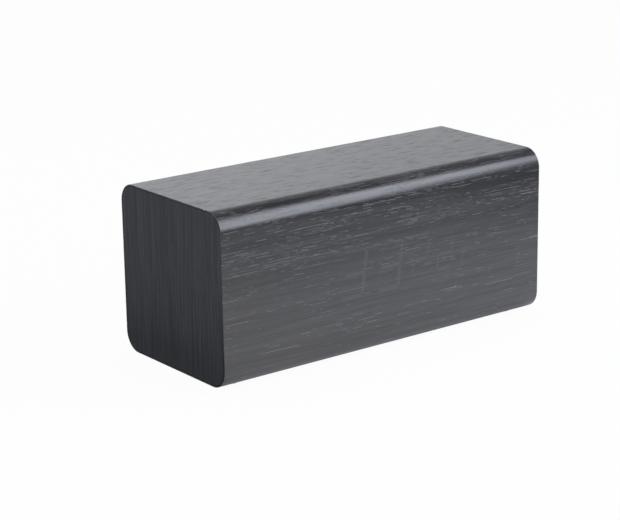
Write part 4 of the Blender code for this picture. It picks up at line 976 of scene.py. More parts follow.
class Workshop:
    """Ways of making plain meshes in place, each at the origin and facing out."""

    @staticmethod
    def placed(name: str, mesh: bpy.types.Mesh) -> bpy.types.Object:
        """A new object in the scene."""
        made = bpy.data.objects.new(name, mesh)
        bpy.context.scene.collection.objects.link(made)
        return made

    @staticmethod
    def baked(base: bpy.types.Object) -> bpy.types.Object:
        """Turn an object's evaluated shape into a plain mesh.

        Args:
            base: the object, which is removed.

        Returns:
            An object of the same name with that mesh, at the origin.
        """
        bpy.context.view_layer.update()
        evaluated = base.evaluated_get(bpy.context.evaluated_depsgraph_get())
        mesh = bpy.data.meshes.new_from_object(evaluated)
        mesh.transform(base.matrix_world)
        name = base.name
        bpy.data.objects.remove(base, do_unlink=True)
        return Workshop.placed(name, mesh)

    @staticmethod
    def smooth(made: bpy.types.Object) -> bpy.types.Object:
        """Shade round faces smooth, keep sharp edges sharp and flat faces flat.

        Args:
            made: the object, which is removed.

        Returns:
            An object of the same name and shape.
        """
        made.data.shade_smooth()
        made.data.set_sharp_from_angle(angle=SHARP_ANGLE)
        weighting = made.modifiers.new("weighting", "WEIGHTED_NORMAL")
        weighting.keep_sharp = True
        return Workshop.baked(made)

    @staticmethod
    def from_bmesh(name: str, shape: bmesh.types.BMesh, place: Matrix) -> bpy.types.Object:
        """Finish a bmesh as an object.

        Args:
            name: the object's name.
            shape: the bmesh, which is freed.
            place: where it goes, which is put into the mesh.

        Returns:
            The object, at the origin.
        """
        bmesh.ops.transform(shape, matrix=place, verts=shape.verts)
        mesh = bpy.data.meshes.new(name)
        shape.to_mesh(mesh)
        shape.free()
        return Workshop.placed(name, mesh)

    @staticmethod
    def curve(name: str, dimensions: str, loops: Sequence[Sequence[Point]]) -> bpy.types.Curve:
        """A curve with one straight-legged spline for each row of points.

        Args:
            name: the curve's name.
            dimensions: "2D" for closed outlines, "3D" for an open line.
            loops: the rows of points.

        Returns:
            The curve.
        """
        curve = bpy.data.curves.new(name, "CURVE")
        curve.dimensions = dimensions
        for loop in loops:
            spline = curve.splines.new("POLY")
            spline.points.add(len(loop) - 1)
            for point, (x, y) in zip(spline.points, loop):
                point.co = (x, y, 0.0, 1.0)
            spline.use_cyclic_u = dimensions == "2D"
        return curve

    @staticmethod
    def turned(name: str, profile: Sequence[Point], place: Matrix, steps: int = 64) -> bpy.types.Object:
        """A turned solid.

        Args:
            name: the object's name.
            profile: (radius, height) points from the top's middle down the outer side.
            place: where its axis, the own Z, goes.
            steps: facets round it.

        Returns:
            The closed solid.
        """
        shape = bmesh.new()
        rings = []
        for radius, height in profile:
            angles = [math.tau * step / steps for step in range(steps)] if radius > WELD else [0.0]
            around = ((radius * math.cos(angle), radius * math.sin(angle), height) for angle in angles)
            rings.append([shape.verts.new(corner) for corner in around])
        for upper, lower in zip(rings, rings[1:]):
            for step in range(steps):
                after = (step + 1) % steps
                corners = [upper[step % len(upper)], lower[step % len(lower)]]
                corners += [lower[after % len(lower)], upper[after % len(upper)]]
                distinct = list(dict.fromkeys(corners))
                if len(distinct) > 2:
                    shape.faces.new(distinct)
        return Workshop.from_bmesh(name, shape, place)

    @staticmethod
    def plate(
        name: str, loops: Sequence[Sequence[Point]], thickness: float, edge: float, place: Matrix
    ) -> bpy.types.Object:
        """A flat outline with holes, its arrises eased.

        Args:
            name: the object's name.
            loops: the outline and the holes.
            thickness: along the own Z, half to each side.
            edge: radius of the eased arrises.
            place: where it goes.

        Returns:
            The closed plate.
        """
        curve = Workshop.curve(name, "2D", loops)
        curve.fill_mode = "BOTH"
        curve.extrude = thickness / 2 - edge
        curve.bevel_depth = edge
        curve.bevel_resolution = 1
        curve.offset = -edge
        made = Workshop.baked(Workshop.placed(name, curve))
        shape = bmesh.new()
        shape.from_mesh(made.data)
        bmesh.ops.remove_doubles(shape, verts=shape.verts, dist=WELD)
        bmesh.ops.recalc_face_normals(shape, faces=shape.faces)
        bmesh.ops.transform(shape, matrix=place, verts=shape.verts)
        shape.to_mesh(made.data)
        shape.free()
        return made

    @staticmethod
    def bar(name: str, low: Place, high: Place, edge: float, segments: int = 2) -> bpy.types.Object:
        """A box with eased edges.

        Args:
            name: the object's name.
            low: its lowest corner.
            high: its highest corner.
            edge: radius of the eased edges.
            segments: facets of each eased edge.

        Returns:
            The closed box.
        """
        size = Vector(high) - Vector(low)
        shape = bmesh.new()
        bmesh.ops.create_cube(shape, size=1.0)
        bmesh.ops.scale(shape, vec=size, verts=shape.verts)
        bmesh.ops.bevel(
            shape, geom=shape.edges, offset=edge, segments=segments, profile=0.5, affect="EDGES",
        )
        middle = Matrix.Translation((Vector(low) + Vector(high)) / 2)
        return Workshop.from_bmesh(name, shape, middle)

    @staticmethod
    def joined(name: str, parts: Sequence[bpy.types.Object]) -> bpy.types.Object:
        """Put several objects together, each still a closed solid of its own.

        Args:
            name: the new object's name.
            parts: the objects, which are removed.

        Returns:
            The new object.
        """
        shape = bmesh.new()
        for part in parts:
            shape.from_mesh(part.data)
            bpy.data.objects.remove(part, do_unlink=True)
        return Workshop.from_bmesh(name, shape, Matrix.Identity(4))

    @staticmethod
    def carved(base: bpy.types.Object, tools: Sequence[bpy.types.Object]) -> bpy.types.Object:
        """Cut tools away from a solid.

        Args:
            base: the solid.
            tools: what is cut away, which is removed.

        Returns:
            The solid that is left, under the base's name.
        """
        for tool in tools:
            modifier = base.modifiers.new("tool", "BOOLEAN")
            modifier.operation = "DIFFERENCE"
            modifier.solver = "EXACT"
            modifier.object = tool
        made = Workshop.baked(base)
        for tool in tools:
            bpy.data.objects.remove(tool, do_unlink=True)
        return made


def rounded(corners: Sequence[tuple[float, float, float]], steps: int = 8) -> list[Point]:
    """Points of a closed outline with an arc at each rounded corner.

    Args:
        corners: (x, y, radius) of each corner.
        steps: parts of each arc.

    Returns:
        The outline.
    """
    points: list[Point] = []
    for index, (x, y, radius) in enumerate(corners):
        here = Vector((x, y))
        if radius <= 0.0:
            points.append((x, y))
            continue
        before = (Vector(corners[index - 1][:2]) - here).normalized()
        after = (Vector(corners[(index + 1) % len(corners)][:2]) - here).normalized()
        half_angle = before.angle(after) / 2
        centre = here + (before + after).normalized() * (radius / math.sin(half_angle))
        start = here + before * (radius / math.tan(half_angle)) - centre
        end = here + after * (radius / math.tan(half_angle)) - centre
        sweep = math.atan2(start.x * end.y - start.y * end.x, start.dot(end))
        for step in range(steps + 1):
            points.append(tuple(centre + Matrix.Rotation(sweep * step / steps, 2) @ start))
    return points


def middle_of(node: str) -> Place:
    """The middle of a CAD node's box."""
    return tuple((low + high) / 2 for low, high in zip(*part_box(node)))


def quarter(steps: int) -> list[Point]:
    """The sine and cosine at even steps through a quarter turn."""
    turns = (math.pi / 2 * step / steps for step in range(steps + 1))
    return [(math.sin(turn), math.cos(turn)) for turn in turns]


def disc(radius: float, top: float, bottom: float) -> list[Point]:
    """The profile of a plain turned disc."""
    return [(0.0, top), (radius, top), (radius, bottom), (0.0, bottom)]


def rectangle(width: float, height: float, radius: float, x: float = 0.0, y: float = 0.0) -> list[Point]:
    """A rectangle about (x, y) with rounded corners."""
    signs = ((1, -1), (1, 1), (-1, 1), (-1, -1))
    return rounded([(x + side * width / 2, y + rise * height / 2, radius) for side, rise in signs])


def circle(x: float, y: float, radius: float, steps: int = 40, phase: float = 0.0) -> list[Point]:
    """A circle as a ring of points, the first at the phase angle."""
    turns = [phase + math.tau * step / steps for step in range(steps)]
    return [(x + radius * math.cos(turn), y + radius * math.sin(turn)) for turn in turns]


def eased_profile(profile: Sequence[Point], radius: float, steps: int = 3) -> list[Point]:
    """A turned profile whose corners are rounded, apart from its first and last point.

    Args:
        profile: (radius, height) points.
        radius: how far each rounding reaches along its legs, or half the leg if that is shorter.
        steps: parts of each rounding.

    Returns:
        The profile with its roundings.
    """
    last = len(profile) - 1
    points: list[Point] = []
    for index, (out, height) in enumerate(profile):
        if index in (0, last):
            points.append((out, height))
            continue
        here = Vector((out, height))
        legs = [Vector(profile[index + step]) - here for step in (-1, 1)]
        reach = min(radius, legs[0].length / 2, legs[1].length / 2)
        start, end = (here + leg.normalized() * reach for leg in legs)
        for step in range(steps + 1):
            share = step / steps
            near = start.lerp(here, share)
            far = here.lerp(end, share)
            points.append(tuple(near.lerp(far, share)))
    return points


def scattered(
    name: str, pattern: bpy.types.Object, places: Sequence[Place], facing: Facing,
    material: bpy.types.Material,
) -> bpy.types.Object:
    """Copies of one pattern at several places, as one mesh.

    Args:
        name: the new object's name.
        pattern: what is copied, which is removed.
        places: where the copies go.
        facing: how each is turned.
        material: their finish.

    Returns:
        The mesh of all the copies.
    """
    mesh = bpy.data.meshes.new("places")
    mesh.from_pydata(list(places), [], [])
    program = GeometryProgram(f"scattered_{name}", {"Turn": Vector(facing.value), "Material": material})
    copied = program.node("GeometryNodeObjectInfo", {"transform_space": "ORIGINAL"}, {"Object": pattern})
    copies = program.node("GeometryNodeInstanceOnPoints", inputs={
        "Points": program.start.outputs["Geometry"], "Instance": copied.outputs["Geometry"],
        "Rotation": program.size("Turn"),
    })
    made = program.run(name, copies.outputs["Instances"], Workshop.placed("places", mesh))
    bpy.data.objects.remove(pattern, do_unlink=True)
    return made


def keep(
    made: bpy.types.Object, body: Body, slot: Slot, stands_for: Iterable[str] = (),
    material: bpy.types.Material | None = None,
) -> bpy.types.Object:
    """Dress a finished piece and hand it to the frame.

    Args:
        made: the piece, at the origin.
        body: what it rides on.
        slot: the record's slot for its finish; not used.
        stands_for: the CAD nodes that it replaces.
        material: its material, unless it has one already.

    Returns:
        The piece.
    """
    made = Workshop.smooth(made)
    if material is not None:
        made.data.materials.clear()
        made.data.materials.append(material)
    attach(made, body.value)
    nodes = list(stands_for)
    if nodes:
        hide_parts(*nodes)
    log.info("%s: %d faces on %s", made.name, len(made.data.polygons), body.value)
    return made


def dress(material: bpy.types.Material, *nodes: str) -> None:
    """Give CAD nodes that keep their shape a material.

    Args:
        material: their finish.
        nodes: their names.
    """
    for name in nodes:
        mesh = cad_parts[name].data
        mesh.materials.clear()
        mesh.materials.append(material)
        log.info("%s: dressed in %s", name, material.name)


@dataclass
class VeneeredBlock:
    """The block's skin: one veneer round the four long faces and one let into each end."""

    finishes: Finishes
    width: float = 0.210
    depth: float = 0.089
    height: float = 0.090
    base: float = 0.0011
    edge_radius: float = 0.0102
    thickness: float = 0.0006
    seam: float = 0.0004
    arris: float = 0.00012
    arris_angle: float = math.radians(60)
    end_line: float = 0.0003
    opening: tuple[float, float, float] = (0.1266, 0.052606, 0.0053)
    arc_points: int = 40
    stations: int = 12

    @property
    def middle(self) -> float:
        """Height of the block's middle."""
        return self.base + self.height / 2

    def section(self) -> bpy.types.Object:
        """Draw the section's corners, from the seam underneath round the rear, top and front.

        Returns:
            The open line through them.
        """
        half_depth, half_height, half_seam = self.depth / 2, self.height / 2, self.seam / 2
        corners = (
            (-half_seam, half_height), (-half_depth, half_height), (-half_depth, -half_height),
            (half_depth, -half_height), (half_depth, half_height), (half_seam, half_height),
        )
        return Workshop.placed("section", Workshop.curve("section", "3D", [corners]))

    def swept(self) -> bpy.types.Object:
        """Sweep the filleted section along the block.

        Returns:
            The skin's outer face, with a map of its grain.
        """
        half = self.width / 2
        program = GeometryProgram("swept_skin", {
            "Edge radius": self.edge_radius, "Arc points": self.arc_points, "Stations": self.stations,
            "Left end": Vector((-half, 0.0, self.middle)), "Right end": Vector((half, 0.0, self.middle)),
            "Material": self.finishes.wrap,
        })
        fillet = program.node("GeometryNodeFilletCurve", {"mode": "POLY"}, {
            "Curve": program.start.outputs["Geometry"], "Radius": program.size("Edge radius"),
            "Count": program.size("Arc points"),
        })
        around = program.node("GeometryNodeCaptureAttribute")
        around.capture_items.new("FLOAT", "around")
        program.feed(around.inputs["Geometry"], fillet.outputs["Curve"])
        program.feed(around.inputs["around"], program.node("GeometryNodeSplineParameter").outputs["Length"])
        line = program.node("GeometryNodeCurvePrimitiveLine", inputs={
            "Start": program.size("Left end"), "End": program.size("Right end"),
        })
        path = program.node("GeometryNodeResampleCurve", inputs={
            "Curve": line.outputs["Curve"], "Count": program.size("Stations"),
        })
        sweep = program.node("GeometryNodeCurveToMesh", inputs={
            "Curve": path.outputs["Curve"], "Profile Curve": around.outputs["Geometry"],
        })
        along, _, _ = program.split(program.node("GeometryNodeInputPosition").outputs["Position"])
        grain = program.node("ShaderNodeCombineXYZ", inputs={"X": along, "Y": around.outputs["around"]})
        kind = {"data_type": "FLOAT2", "domain": "CORNER"}
        mapped = program.node("GeometryNodeStoreNamedAttribute", kind, {
            "Geometry": sweep.outputs["Mesh"], "Name": "grain", "Value": grain.outputs["Vector"],
        })
        return program.run("veneer_skin", mapped.outputs["Geometry"], self.section())

    def wrap(self) -> None:
        """Make the wrap, with its wall, eased arrises and rear opening."""
        skin = self.swept()
        wall = skin.modifiers.new("wall", "SOLIDIFY")
        wall.thickness = self.thickness
        wall.offset = -1.0
        wall.use_even_offset = True
        easing = skin.modifiers.new("easing", "BEVEL")
        easing.limit_method = "ANGLE"
        easing.angle_limit = self.arris_angle
        easing.width = self.arris
        easing.segments = 2
        width, height, corner = self.opening
        outline = rectangle(width, height, corner)
        rear = Facing.FRONT.at((0.0, self.depth / 2, self.middle))
        cutter = Workshop.plate("opening", [outline], 8 * self.thickness, self.thickness / 4, rear)
        skin = Workshop.carved(skin, [cutter])
        keep(skin, Body.BLOCK, Slot.VENEER, ["veneer_wrap"])

    def ends(self) -> None:
        """Make the two panels that are let in inside the wrap."""
        margin = self.thickness + self.end_line
        half_depth, half_height = self.depth / 2 - margin, self.height / 2 - margin
        radius = self.edge_radius - margin
        signs = ((1, -1), (1, 1), (-1, 1), (-1, -1))
        corners = [(across * half_depth, up * half_height, radius) for across, up in signs]
        outline = rounded(corners, self.arc_points // 2)
        for side, name in ((-1, "left_end"), (1, "right_end")):
            place = Facing.ACROSS.at((side * (self.width - self.thickness) / 2, 0.0, self.middle))
            panel = Workshop.plate(f"{name}_panel", [outline], self.thickness, self.arris, place)
            keep(panel, Body.BLOCK, Slot.VENEER, [f"{name}_veneer"], self.finishes.end)

    def build(self) -> None:
        """Make the wrap and the two ends."""
        self.wrap()
        self.ends()


@dataclass
class Pads:
    """Four thin rubber pads that the block stands on."""

    finishes: Finishes
    radius: float = 0.005
    height: float = 0.0008
    edge: float = 0.0002

    def build(self) -> None:
        """Turn one pad and stand a copy at each of the four places."""
        names = [f"pad_{row}_{side}" for row in ("front", "rear") for side in ("left", "right")]
        profile = eased_profile(disc(self.radius, self.height, 0.0), self.edge)
        pattern = Workshop.turned("pad_pattern", profile, Matrix.Identity(4))
        places = [(x, y, 0.0) for x, y, _ in map(middle_of, names)]
        pads = scattered("rubber_pads", pattern, places, Facing.UP, self.finishes.pad)
        keep(pads, Body.BLOCK, Slot.PAD, names)


@dataclass
class PanScrews:
    """Pan-head screws of one length with a cross recess."""

    name: str
    nodes: tuple[str, ...]
    length: float
    facing: Facing
    material: bpy.types.Material
    head_radius: float = 0.0023
    head_height: float = 0.0015
    brim_share: float = 0.45
    brim_edge: float = 0.00012
    shank_radius: float = 0.0011
    cross: float = 0.0013
    blade: float = 0.00032
    depth: float = 0.0009

    def pattern(self) -> bpy.types.Object:
        """Make one screw.

        Returns:
            The screw, its head's underside at the own origin and its head along the own Z.
        """
        brim = self.brim_share
        profile = [
            *(
                (self.head_radius * out, self.head_height * (brim + (1.0 - brim) * up))
                for out, up in quarter(8)
            ),
            (self.head_radius, self.brim_edge), (self.head_radius - self.brim_edge, 0.0),
            (self.shank_radius, 0.0), (self.shank_radius, self.shank_radius - self.length),
            (0.0, -self.length),
        ]
        screw = Workshop.turned("screw", profile, Matrix.Identity(4), 48)
        blades = []
        for along, across in ((self.cross, self.blade), (self.blade, self.cross)):
            low = (-along, -across, self.head_height - self.depth)
            high = (along, across, self.head_height + self.depth)
            blades.append(Workshop.bar("blade", low, high, self.blade / 4, 1))
        return Workshop.carved(screw, blades)

    def build(self) -> None:
        """Stand a screw at the place of each node."""
        places = []
        for name in self.nodes:
            low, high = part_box(name)
            level = high.y - self.head_height if self.facing is Facing.REAR else low.y + self.head_height
            x, _, z = middle_of(name)
            places.append((x, level, z))
        screws = scattered(self.name, self.pattern(), places, self.facing, self.material)
        keep(screws, Body.BLOCK, Slot.STEEL, self.nodes)


@dataclass
class BackPlate:
    """The moulded plate in the rear, with its holes, battery tray and board bosses.

    Door gives its opening's width, height, corner radius and place across. Notch gives how far a tongue's
    notch is from the door's middle, its half width and its floor. Slit gives how far in a contact's tag
    goes through the tray, and the slit's two half widths.
    """

    finishes: Finishes
    face: float = 0.0425
    thickness: float = 0.0025
    corner: float = 0.005
    edge: float = 0.00025
    middle: float = 0.0461
    clearance: float = 0.0003
    door: tuple[float, float, float, float] = (0.0533, 0.0357, 0.002, 0.0285)
    button_radius: float = 0.004
    knob_slot: tuple[float, float] = (0.0070, 0.0032)
    socket_radius: float = 0.0038
    microphone_hole: float = 0.0007
    grille_hole: float = 0.0006
    grille_pitch: float = 0.0024
    grille_holes: int = 6
    pilot: float = 0.0014
    tray_length: float = 0.0509
    tray_height: float = 0.0333
    tray_wall: float = 0.002
    tray_floor: float = 0.0015
    tray_floor_level: float = 0.0295
    tray_top: float = 0.0406
    notch: tuple[float, float, float] = (0.017, 0.0033, 0.0378)
    slit: tuple[float, float, float] = (0.0005, 0.0006, 0.0015)
    saddle_share: float = 0.22
    saddle_half: float = 0.0005
    saddle_drop: float = 0.0021
    boss_radius: float = 0.0025

    def loops(self) -> list[list[Point]]:
        """Draw the plate.

        Returns:
            Its outline and its holes, about the block's middle height.
        """
        low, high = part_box("back_plate")
        loops = [rectangle(high.x - low.x, high.z - low.z, self.corner)]
        width, height, corner, x = self.door
        loops.append(rectangle(width, height, corner, x, 0.0))
        for name in ("up", "down", "set"):
            loops.append(circle(*self.centre(f"button_cap_{name}"), self.button_radius + self.clearance, 48))
        loops.append(rectangle(*self.knob_slot, self.clearance, *self.centre("slide_switch_body")))
        loops.append(circle(*self.centre("power_socket"), self.socket_radius + self.clearance, 48))
        loops.append(circle(*self.centre("microphone"), self.microphone_hole, 20))
        grille = self.centre("buzzer")
        loops.append(circle(*grille, self.grille_hole, 20, math.pi / 20))
        for hole in circle(*grille, self.grille_pitch, self.grille_holes):
            loops.append(circle(*hole, self.grille_hole, 20))
        for number in range(1, 5):
            loops.append(circle(*self.centre(f"plate_screw_{number}"), self.pilot, 24))
        return loops

    def centre(self, node: str) -> Point:
        """A node's middle, across and above the block's middle height."""
        x, _, z = middle_of(node)
        return x, z - self.middle

    def tray(self) -> bpy.types.Object:
        """Make the open tray behind the door.

        Returns:
            The tray, with notches for the door's tongues and slits for the contacts' tags.
        """
        _, _, _, x = self.door
        half_length, half_height = self.tray_length / 2, self.tray_height / 2
        wall, floor = self.tray_wall, self.tray_floor_level
        low = (x - half_length - wall, floor - self.tray_floor, self.middle - half_height - wall)
        high = (x + half_length + wall, self.tray_top, self.middle + half_height + wall)
        tray = Workshop.bar("tray", low, high, self.edge)
        low = (x - half_length, floor, self.middle - half_height)
        high = (x + half_length, self.tray_top + wall, self.middle + half_height)
        tools = [Workshop.bar("bay", low, high, self.edge)]
        door_low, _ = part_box("battery_door")
        offset, half, notch_floor = self.notch
        for middle in (x - offset, x + offset):
            low = (middle - half, notch_floor, door_low.z - wall)
            high = (middle + half, self.tray_top + wall, self.middle - half_height + wall)
            tools.append(Workshop.bar("notch", low, high, self.edge / 2))
        inset, half_across, half_up = self.slit
        ends = (
            ("positive_contact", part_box("positive_contact")[0].x + inset),
            ("negative_contact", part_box("negative_contact")[1].x - inset),
        )
        for node, across in ends:
            _, _, up = middle_of(node)
            low = (across - half_across, floor - 2 * self.tray_floor, up - half_up)
            high = (across + half_across, floor + self.tray_floor, up + half_up)
            tools.append(Workshop.bar("slit", low, high, self.edge / 4))
        return Workshop.carved(tray, tools)

    def saddles(self) -> list[bpy.types.Object]:
        """Make the saddles that the cells lie in.

        Returns:
            Two low walls across the tray's floor, scooped for the three cells.
        """
        _, _, _, x = self.door
        cells = [middle_of(f"battery_cell_{number}") for number in (1, 2, 3)]
        low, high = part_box("battery_cell_1")
        radius = (high.y - low.y) / 2 + self.clearance
        level = cells[0][1]
        half = self.tray_height / 2
        profile = disc(radius, 4 * self.saddle_half, -4 * self.saddle_half)
        made = []
        for share in (-self.saddle_share, self.saddle_share):
            across = x + share * self.tray_length
            low = (across - self.saddle_half, self.tray_floor_level - self.clearance, self.middle - half)
            high = (across + self.saddle_half, level - self.saddle_drop, self.middle + half)
            wall = Workshop.bar("saddle", low, high, self.edge / 2)
            places = [Facing.RIGHT.at((across, level, up)) for _, _, up in cells]
            scoops = [Workshop.turned("scoop", profile, place, 48) for place in places]
            made.append(Workshop.carved(wall, scoops))
        return made

    def build(self) -> None:
        """Make the plate and what is moulded on it, as one piece."""
        place = Facing.FRONT.at((0.0, self.face - self.thickness / 2, self.middle))
        plate = Workshop.plate("plate", self.loops(), self.thickness, self.edge, place)
        parts = [plate, self.tray(), *self.saddles()]
        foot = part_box("main_board")[1].y + self.clearance
        top = self.face - self.thickness / 2
        for number in (1, 2):
            x, _, z = middle_of(f"board_screw_{number}")
            place = Facing.FRONT.at((x, (foot + top) / 2, z))
            rings = [circle(0.0, 0.0, self.boss_radius), circle(0.0, 0.0, self.pilot, 24)]
            parts.append(Workshop.plate("boss", rings, top - foot, self.edge, place))
        plate = Workshop.joined("rear_plate", parts)
        keep(plate, Body.BLOCK, Slot.BACK, ["back_plate"], self.finishes.back)


@dataclass
class BatteryDoor:
    """The hinged battery door with its latch tab, grip ribs and tongues.

    Root and tongue give two corners each: X from the tongue's middle, Y in the block, and Z from the
    door's lower edge.
    """

    finishes: Finishes
    face: float = 0.0425
    thickness: float = 0.0016
    middle: float = 0.0461
    centre: float = 0.0285
    width: float = 0.0527
    height: float = 0.0351
    corner: float = 0.002
    edge: float = 0.00018
    latch_width: float = 0.012
    latch_depth: float = 0.0075
    latch_slit: float = 0.0008
    rib_count: int = 4
    rib_pitch: float = 0.0013
    rib_size: tuple[float, float, float] = (0.009, 0.0006, 0.0006)
    tongue_offset: float = 0.017
    root: tuple[Place, Place] = ((-0.003, 0.0385, 0.0003), (0.003, 0.04108, 0.0015))
    tongue: tuple[Place, Place] = ((-0.0028, 0.0387, -0.0018), (0.0028, 0.0397, 0.0012))

    def outline(self) -> list[Point]:
        """Draw the door.

        Returns:
            Its outline, with the two slits that free its latch tab.
        """
        half_width, half_height = self.width / 2, self.height / 2
        slit_in = self.latch_width / 2
        slit_out = slit_in + self.latch_slit
        floor = half_height - self.latch_depth
        end = self.latch_slit * 0.4
        return rounded([
            (-half_width, -half_height, self.corner), (half_width, -half_height, self.corner),
            (half_width, half_height, self.corner), (slit_out, half_height, end),
            (slit_out, floor, end), (slit_in, floor, end), (slit_in, half_height, end),
            (-slit_in, half_height, end), (-slit_in, floor, end), (-slit_out, floor, end),
            (-slit_out, half_height, end), (-half_width, half_height, self.corner),
        ], 5)

    def ribs(self) -> bpy.types.Object:
        """Repeat one bar up the latch tab.

        Returns:
            The grip ribs.
        """
        length, deep, high = self.rib_size
        top = self.middle + self.height / 2 - self.latch_depth / 2
        start = top - (self.rib_count - 1) / 2 * self.rib_pitch
        program = GeometryProgram("grip_ribs", {
            "Count": self.rib_count, "Pitch": Vector((0.0, 0.0, self.rib_pitch)),
            "First rib": Vector((self.centre, self.face + deep / 6, start)),
            "Rib size": Vector((length, deep, high)), "Material": self.finishes.back,
        })
        rows = program.node("GeometryNodeMeshLine", {"mode": "OFFSET", "count_mode": "TOTAL"}, {
            "Count": program.size("Count"), "Start Location": program.size("First rib"),
            "Offset": program.size("Pitch"),
        })
        rib = program.node("GeometryNodeMeshCube", inputs={"Size": program.size("Rib size")})
        ribs = program.node("GeometryNodeInstanceOnPoints", inputs={
            "Points": rows.outputs["Mesh"], "Instance": rib.outputs["Mesh"],
        })
        made = program.run("ribs", ribs.outputs["Instances"])
        easing = made.modifiers.new("easing", "BEVEL")
        easing.width = high / 4
        easing.segments = 2
        return Workshop.baked(made)

    def build(self) -> None:
        """Make the door as one piece."""
        place = Facing.FRONT.at((self.centre, self.face - self.thickness / 2, self.middle))
        parts = [Workshop.plate("door", [self.outline()], self.thickness, self.edge, place), self.ribs()]
        bottom = self.middle - self.height / 2
        for middle in (self.centre - self.tongue_offset, self.centre + self.tongue_offset):
            for name, corners in (("root", self.root), ("tongue", self.tongue)):
                low, high = ((middle + x, y, bottom + z) for x, y, z in corners)
                parts.append(Workshop.bar(name, low, high, self.edge))
        door = Workshop.joined("battery_lid", parts)
        keep(door, Body.DOOR, Slot.BACK, ["battery_door"], self.finishes.back)


@dataclass
class Buttons:
    """Three dished caps with a raised generic mark each, over their plungers."""

    finishes: Finishes
    radius: float = 0.004
    top: float = 0.0440
    edge: float = 0.0005
    dish: float = 0.00022
    flange_radius: float = 0.005
    flange_top: float = 0.0397
    flange_bottom: float = 0.0387
    stem_radius: float = 0.0015
    stem_end: float = 0.0380
    lower_edge: float = 0.00015
    mark_size: float = 0.0015
    mark_top: float = 0.0443
    mark_corner: float = 0.0002
    triangle_shares: Point = (0.9, 0.6)
    ring_shares: Point = (0.75, 0.42)
    mark_edge: float = 0.00006

    def cap(self, name: str, x: float, z: float) -> bpy.types.Object:
        """Turn one cap.

        Args:
            name: the button's name.
            x: its axis, metres to the right.
            z: its axis, metres above the ground.

        Returns:
            The cap.
        """
        rim = self.radius - self.edge
        shares = (0.0, 0.3, 0.6, 0.85)
        dished = [(rim * share, self.top - self.dish * (1.0 - share * share)) for share in shares]
        corner = [(rim + self.edge * out, self.top - self.edge * (1.0 - up)) for out, up in quarter(5)]
        lower = eased_profile([
            corner[-1], (self.radius, self.flange_top), (self.flange_radius, self.flange_top),
            (self.flange_radius, self.flange_bottom), (self.stem_radius, self.flange_bottom),
            (self.stem_radius, self.stem_end), (0.0, self.stem_end),
        ], self.lower_edge)
        profile = dished + corner + lower[1:]
        return Workshop.turned(f"cap_{name}", profile, Facing.REAR.at((x, 0.0, z)))

    def mark(self, name: str, x: float, z: float) -> bpy.types.Object:
        """The cap's raised mark: a triangle up or down, or a ring.

        Args:
            name: the button's name.
            x: its middle, metres to the right.
            z: its middle, metres above the ground.

        Returns:
            The mark.
        """
        size, corner = self.mark_size, self.mark_corner
        across, down = self.triangle_shares
        left, right, base = -size * across, size * across, size * down
        outer, inner = self.ring_shares
        loops = {
            "up": [rounded([(left, -base, corner), (right, -base, corner), (0.0, size, corner)], 3)],
            "down": [rounded([(left, base, corner), (0.0, -size, corner), (right, base, corner)], 3)],
            "set": [circle(0.0, 0.0, size * outer), circle(0.0, 0.0, size * inner, 32)],
        }[name]
        thickness = self.mark_top - self.top + self.dish + self.edge
        place = Facing.FRONT.at((x, self.mark_top - thickness / 2, z))
        return Workshop.plate(f"mark_{name}", loops, thickness, self.mark_edge, place)

    def build(self) -> None:
        """Make the three caps with their marks, and dress the plungers and switches."""
        for name, body in (("up", Body.UP), ("down", Body.DOWN), ("set", Body.SET)):
            x, _, z = middle_of(f"button_cap_{name}")
            keep(self.cap(name, x, z), body, Slot.KEY, [f"button_cap_{name}"], self.finishes.key)
            keep(self.mark(name, x, z), body, Slot.KEY, (), self.finishes.mark)
            dress(self.finishes.key, f"key_plunger_{name}")
            dress(self.finishes.chip, f"key_switch_{name}")


@dataclass
class AlarmSwitch:
    """The slide switch's grooved knob, and its body on the board."""

    finishes: Finishes
    width: float = 0.0044
    height: float = 0.0026
    top: float = 0.0439
    shoulder_top: float = 0.0397
    shoulder: float = 0.0008
    rim: float = 0.0007
    groove: float = 0.0004
    edge: float = 0.0003
    lever: float = 0.0014

    def build(self) -> None:
        """Make the knob and dress the body."""
        x, _, z = middle_of("alarm_switch_knob")
        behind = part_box("alarm_switch_knob")[0].y
        half_width, half_height, groove, rim = self.width / 2, self.height / 2, self.groove, self.rim
        foot = self.shoulder_top - self.shoulder / 2

        def bar(
            name: str, half_x: float, half_z: float, depth: Point, edge: float, steps: int = 2,
        ) -> bpy.types.Object:
            """A bar about the knob's axis, between two depths."""
            low, high = (x - half_x, depth[0], z - half_z), (x + half_x, depth[1], z + half_z)
            return Workshop.bar(name, low, high, edge, steps)

        knob = bar("knob", half_width, half_height, (foot, self.top), self.edge, 3)
        grooves = []
        for step in (-1.5, -0.5, 0.5, 1.5):
            middle = x + step * 2 * groove
            low = (middle - groove / 2, self.top - groove, z - self.height)
            high = (middle + groove / 2, self.top + groove, z + self.height)
            grooves.append(Workshop.bar("groove", low, high, groove / 5, 1))
        shoulder = (self.shoulder_top - self.shoulder, self.shoulder_top)
        parts = [
            Workshop.carved(knob, grooves),
            bar("shoulder", half_width + rim, half_height + rim, shoulder, self.edge / 2),
            bar("lever", self.lever / 2, self.lever / 2, (behind, foot), self.edge / 2),
        ]
        made = Workshop.joined("alarm_knob_piece", parts)
        keep(made, Body.KNOB, Slot.KEY, ["alarm_switch_knob"], self.finishes.key)
        dress(self.finishes.steel, "slide_switch_body")


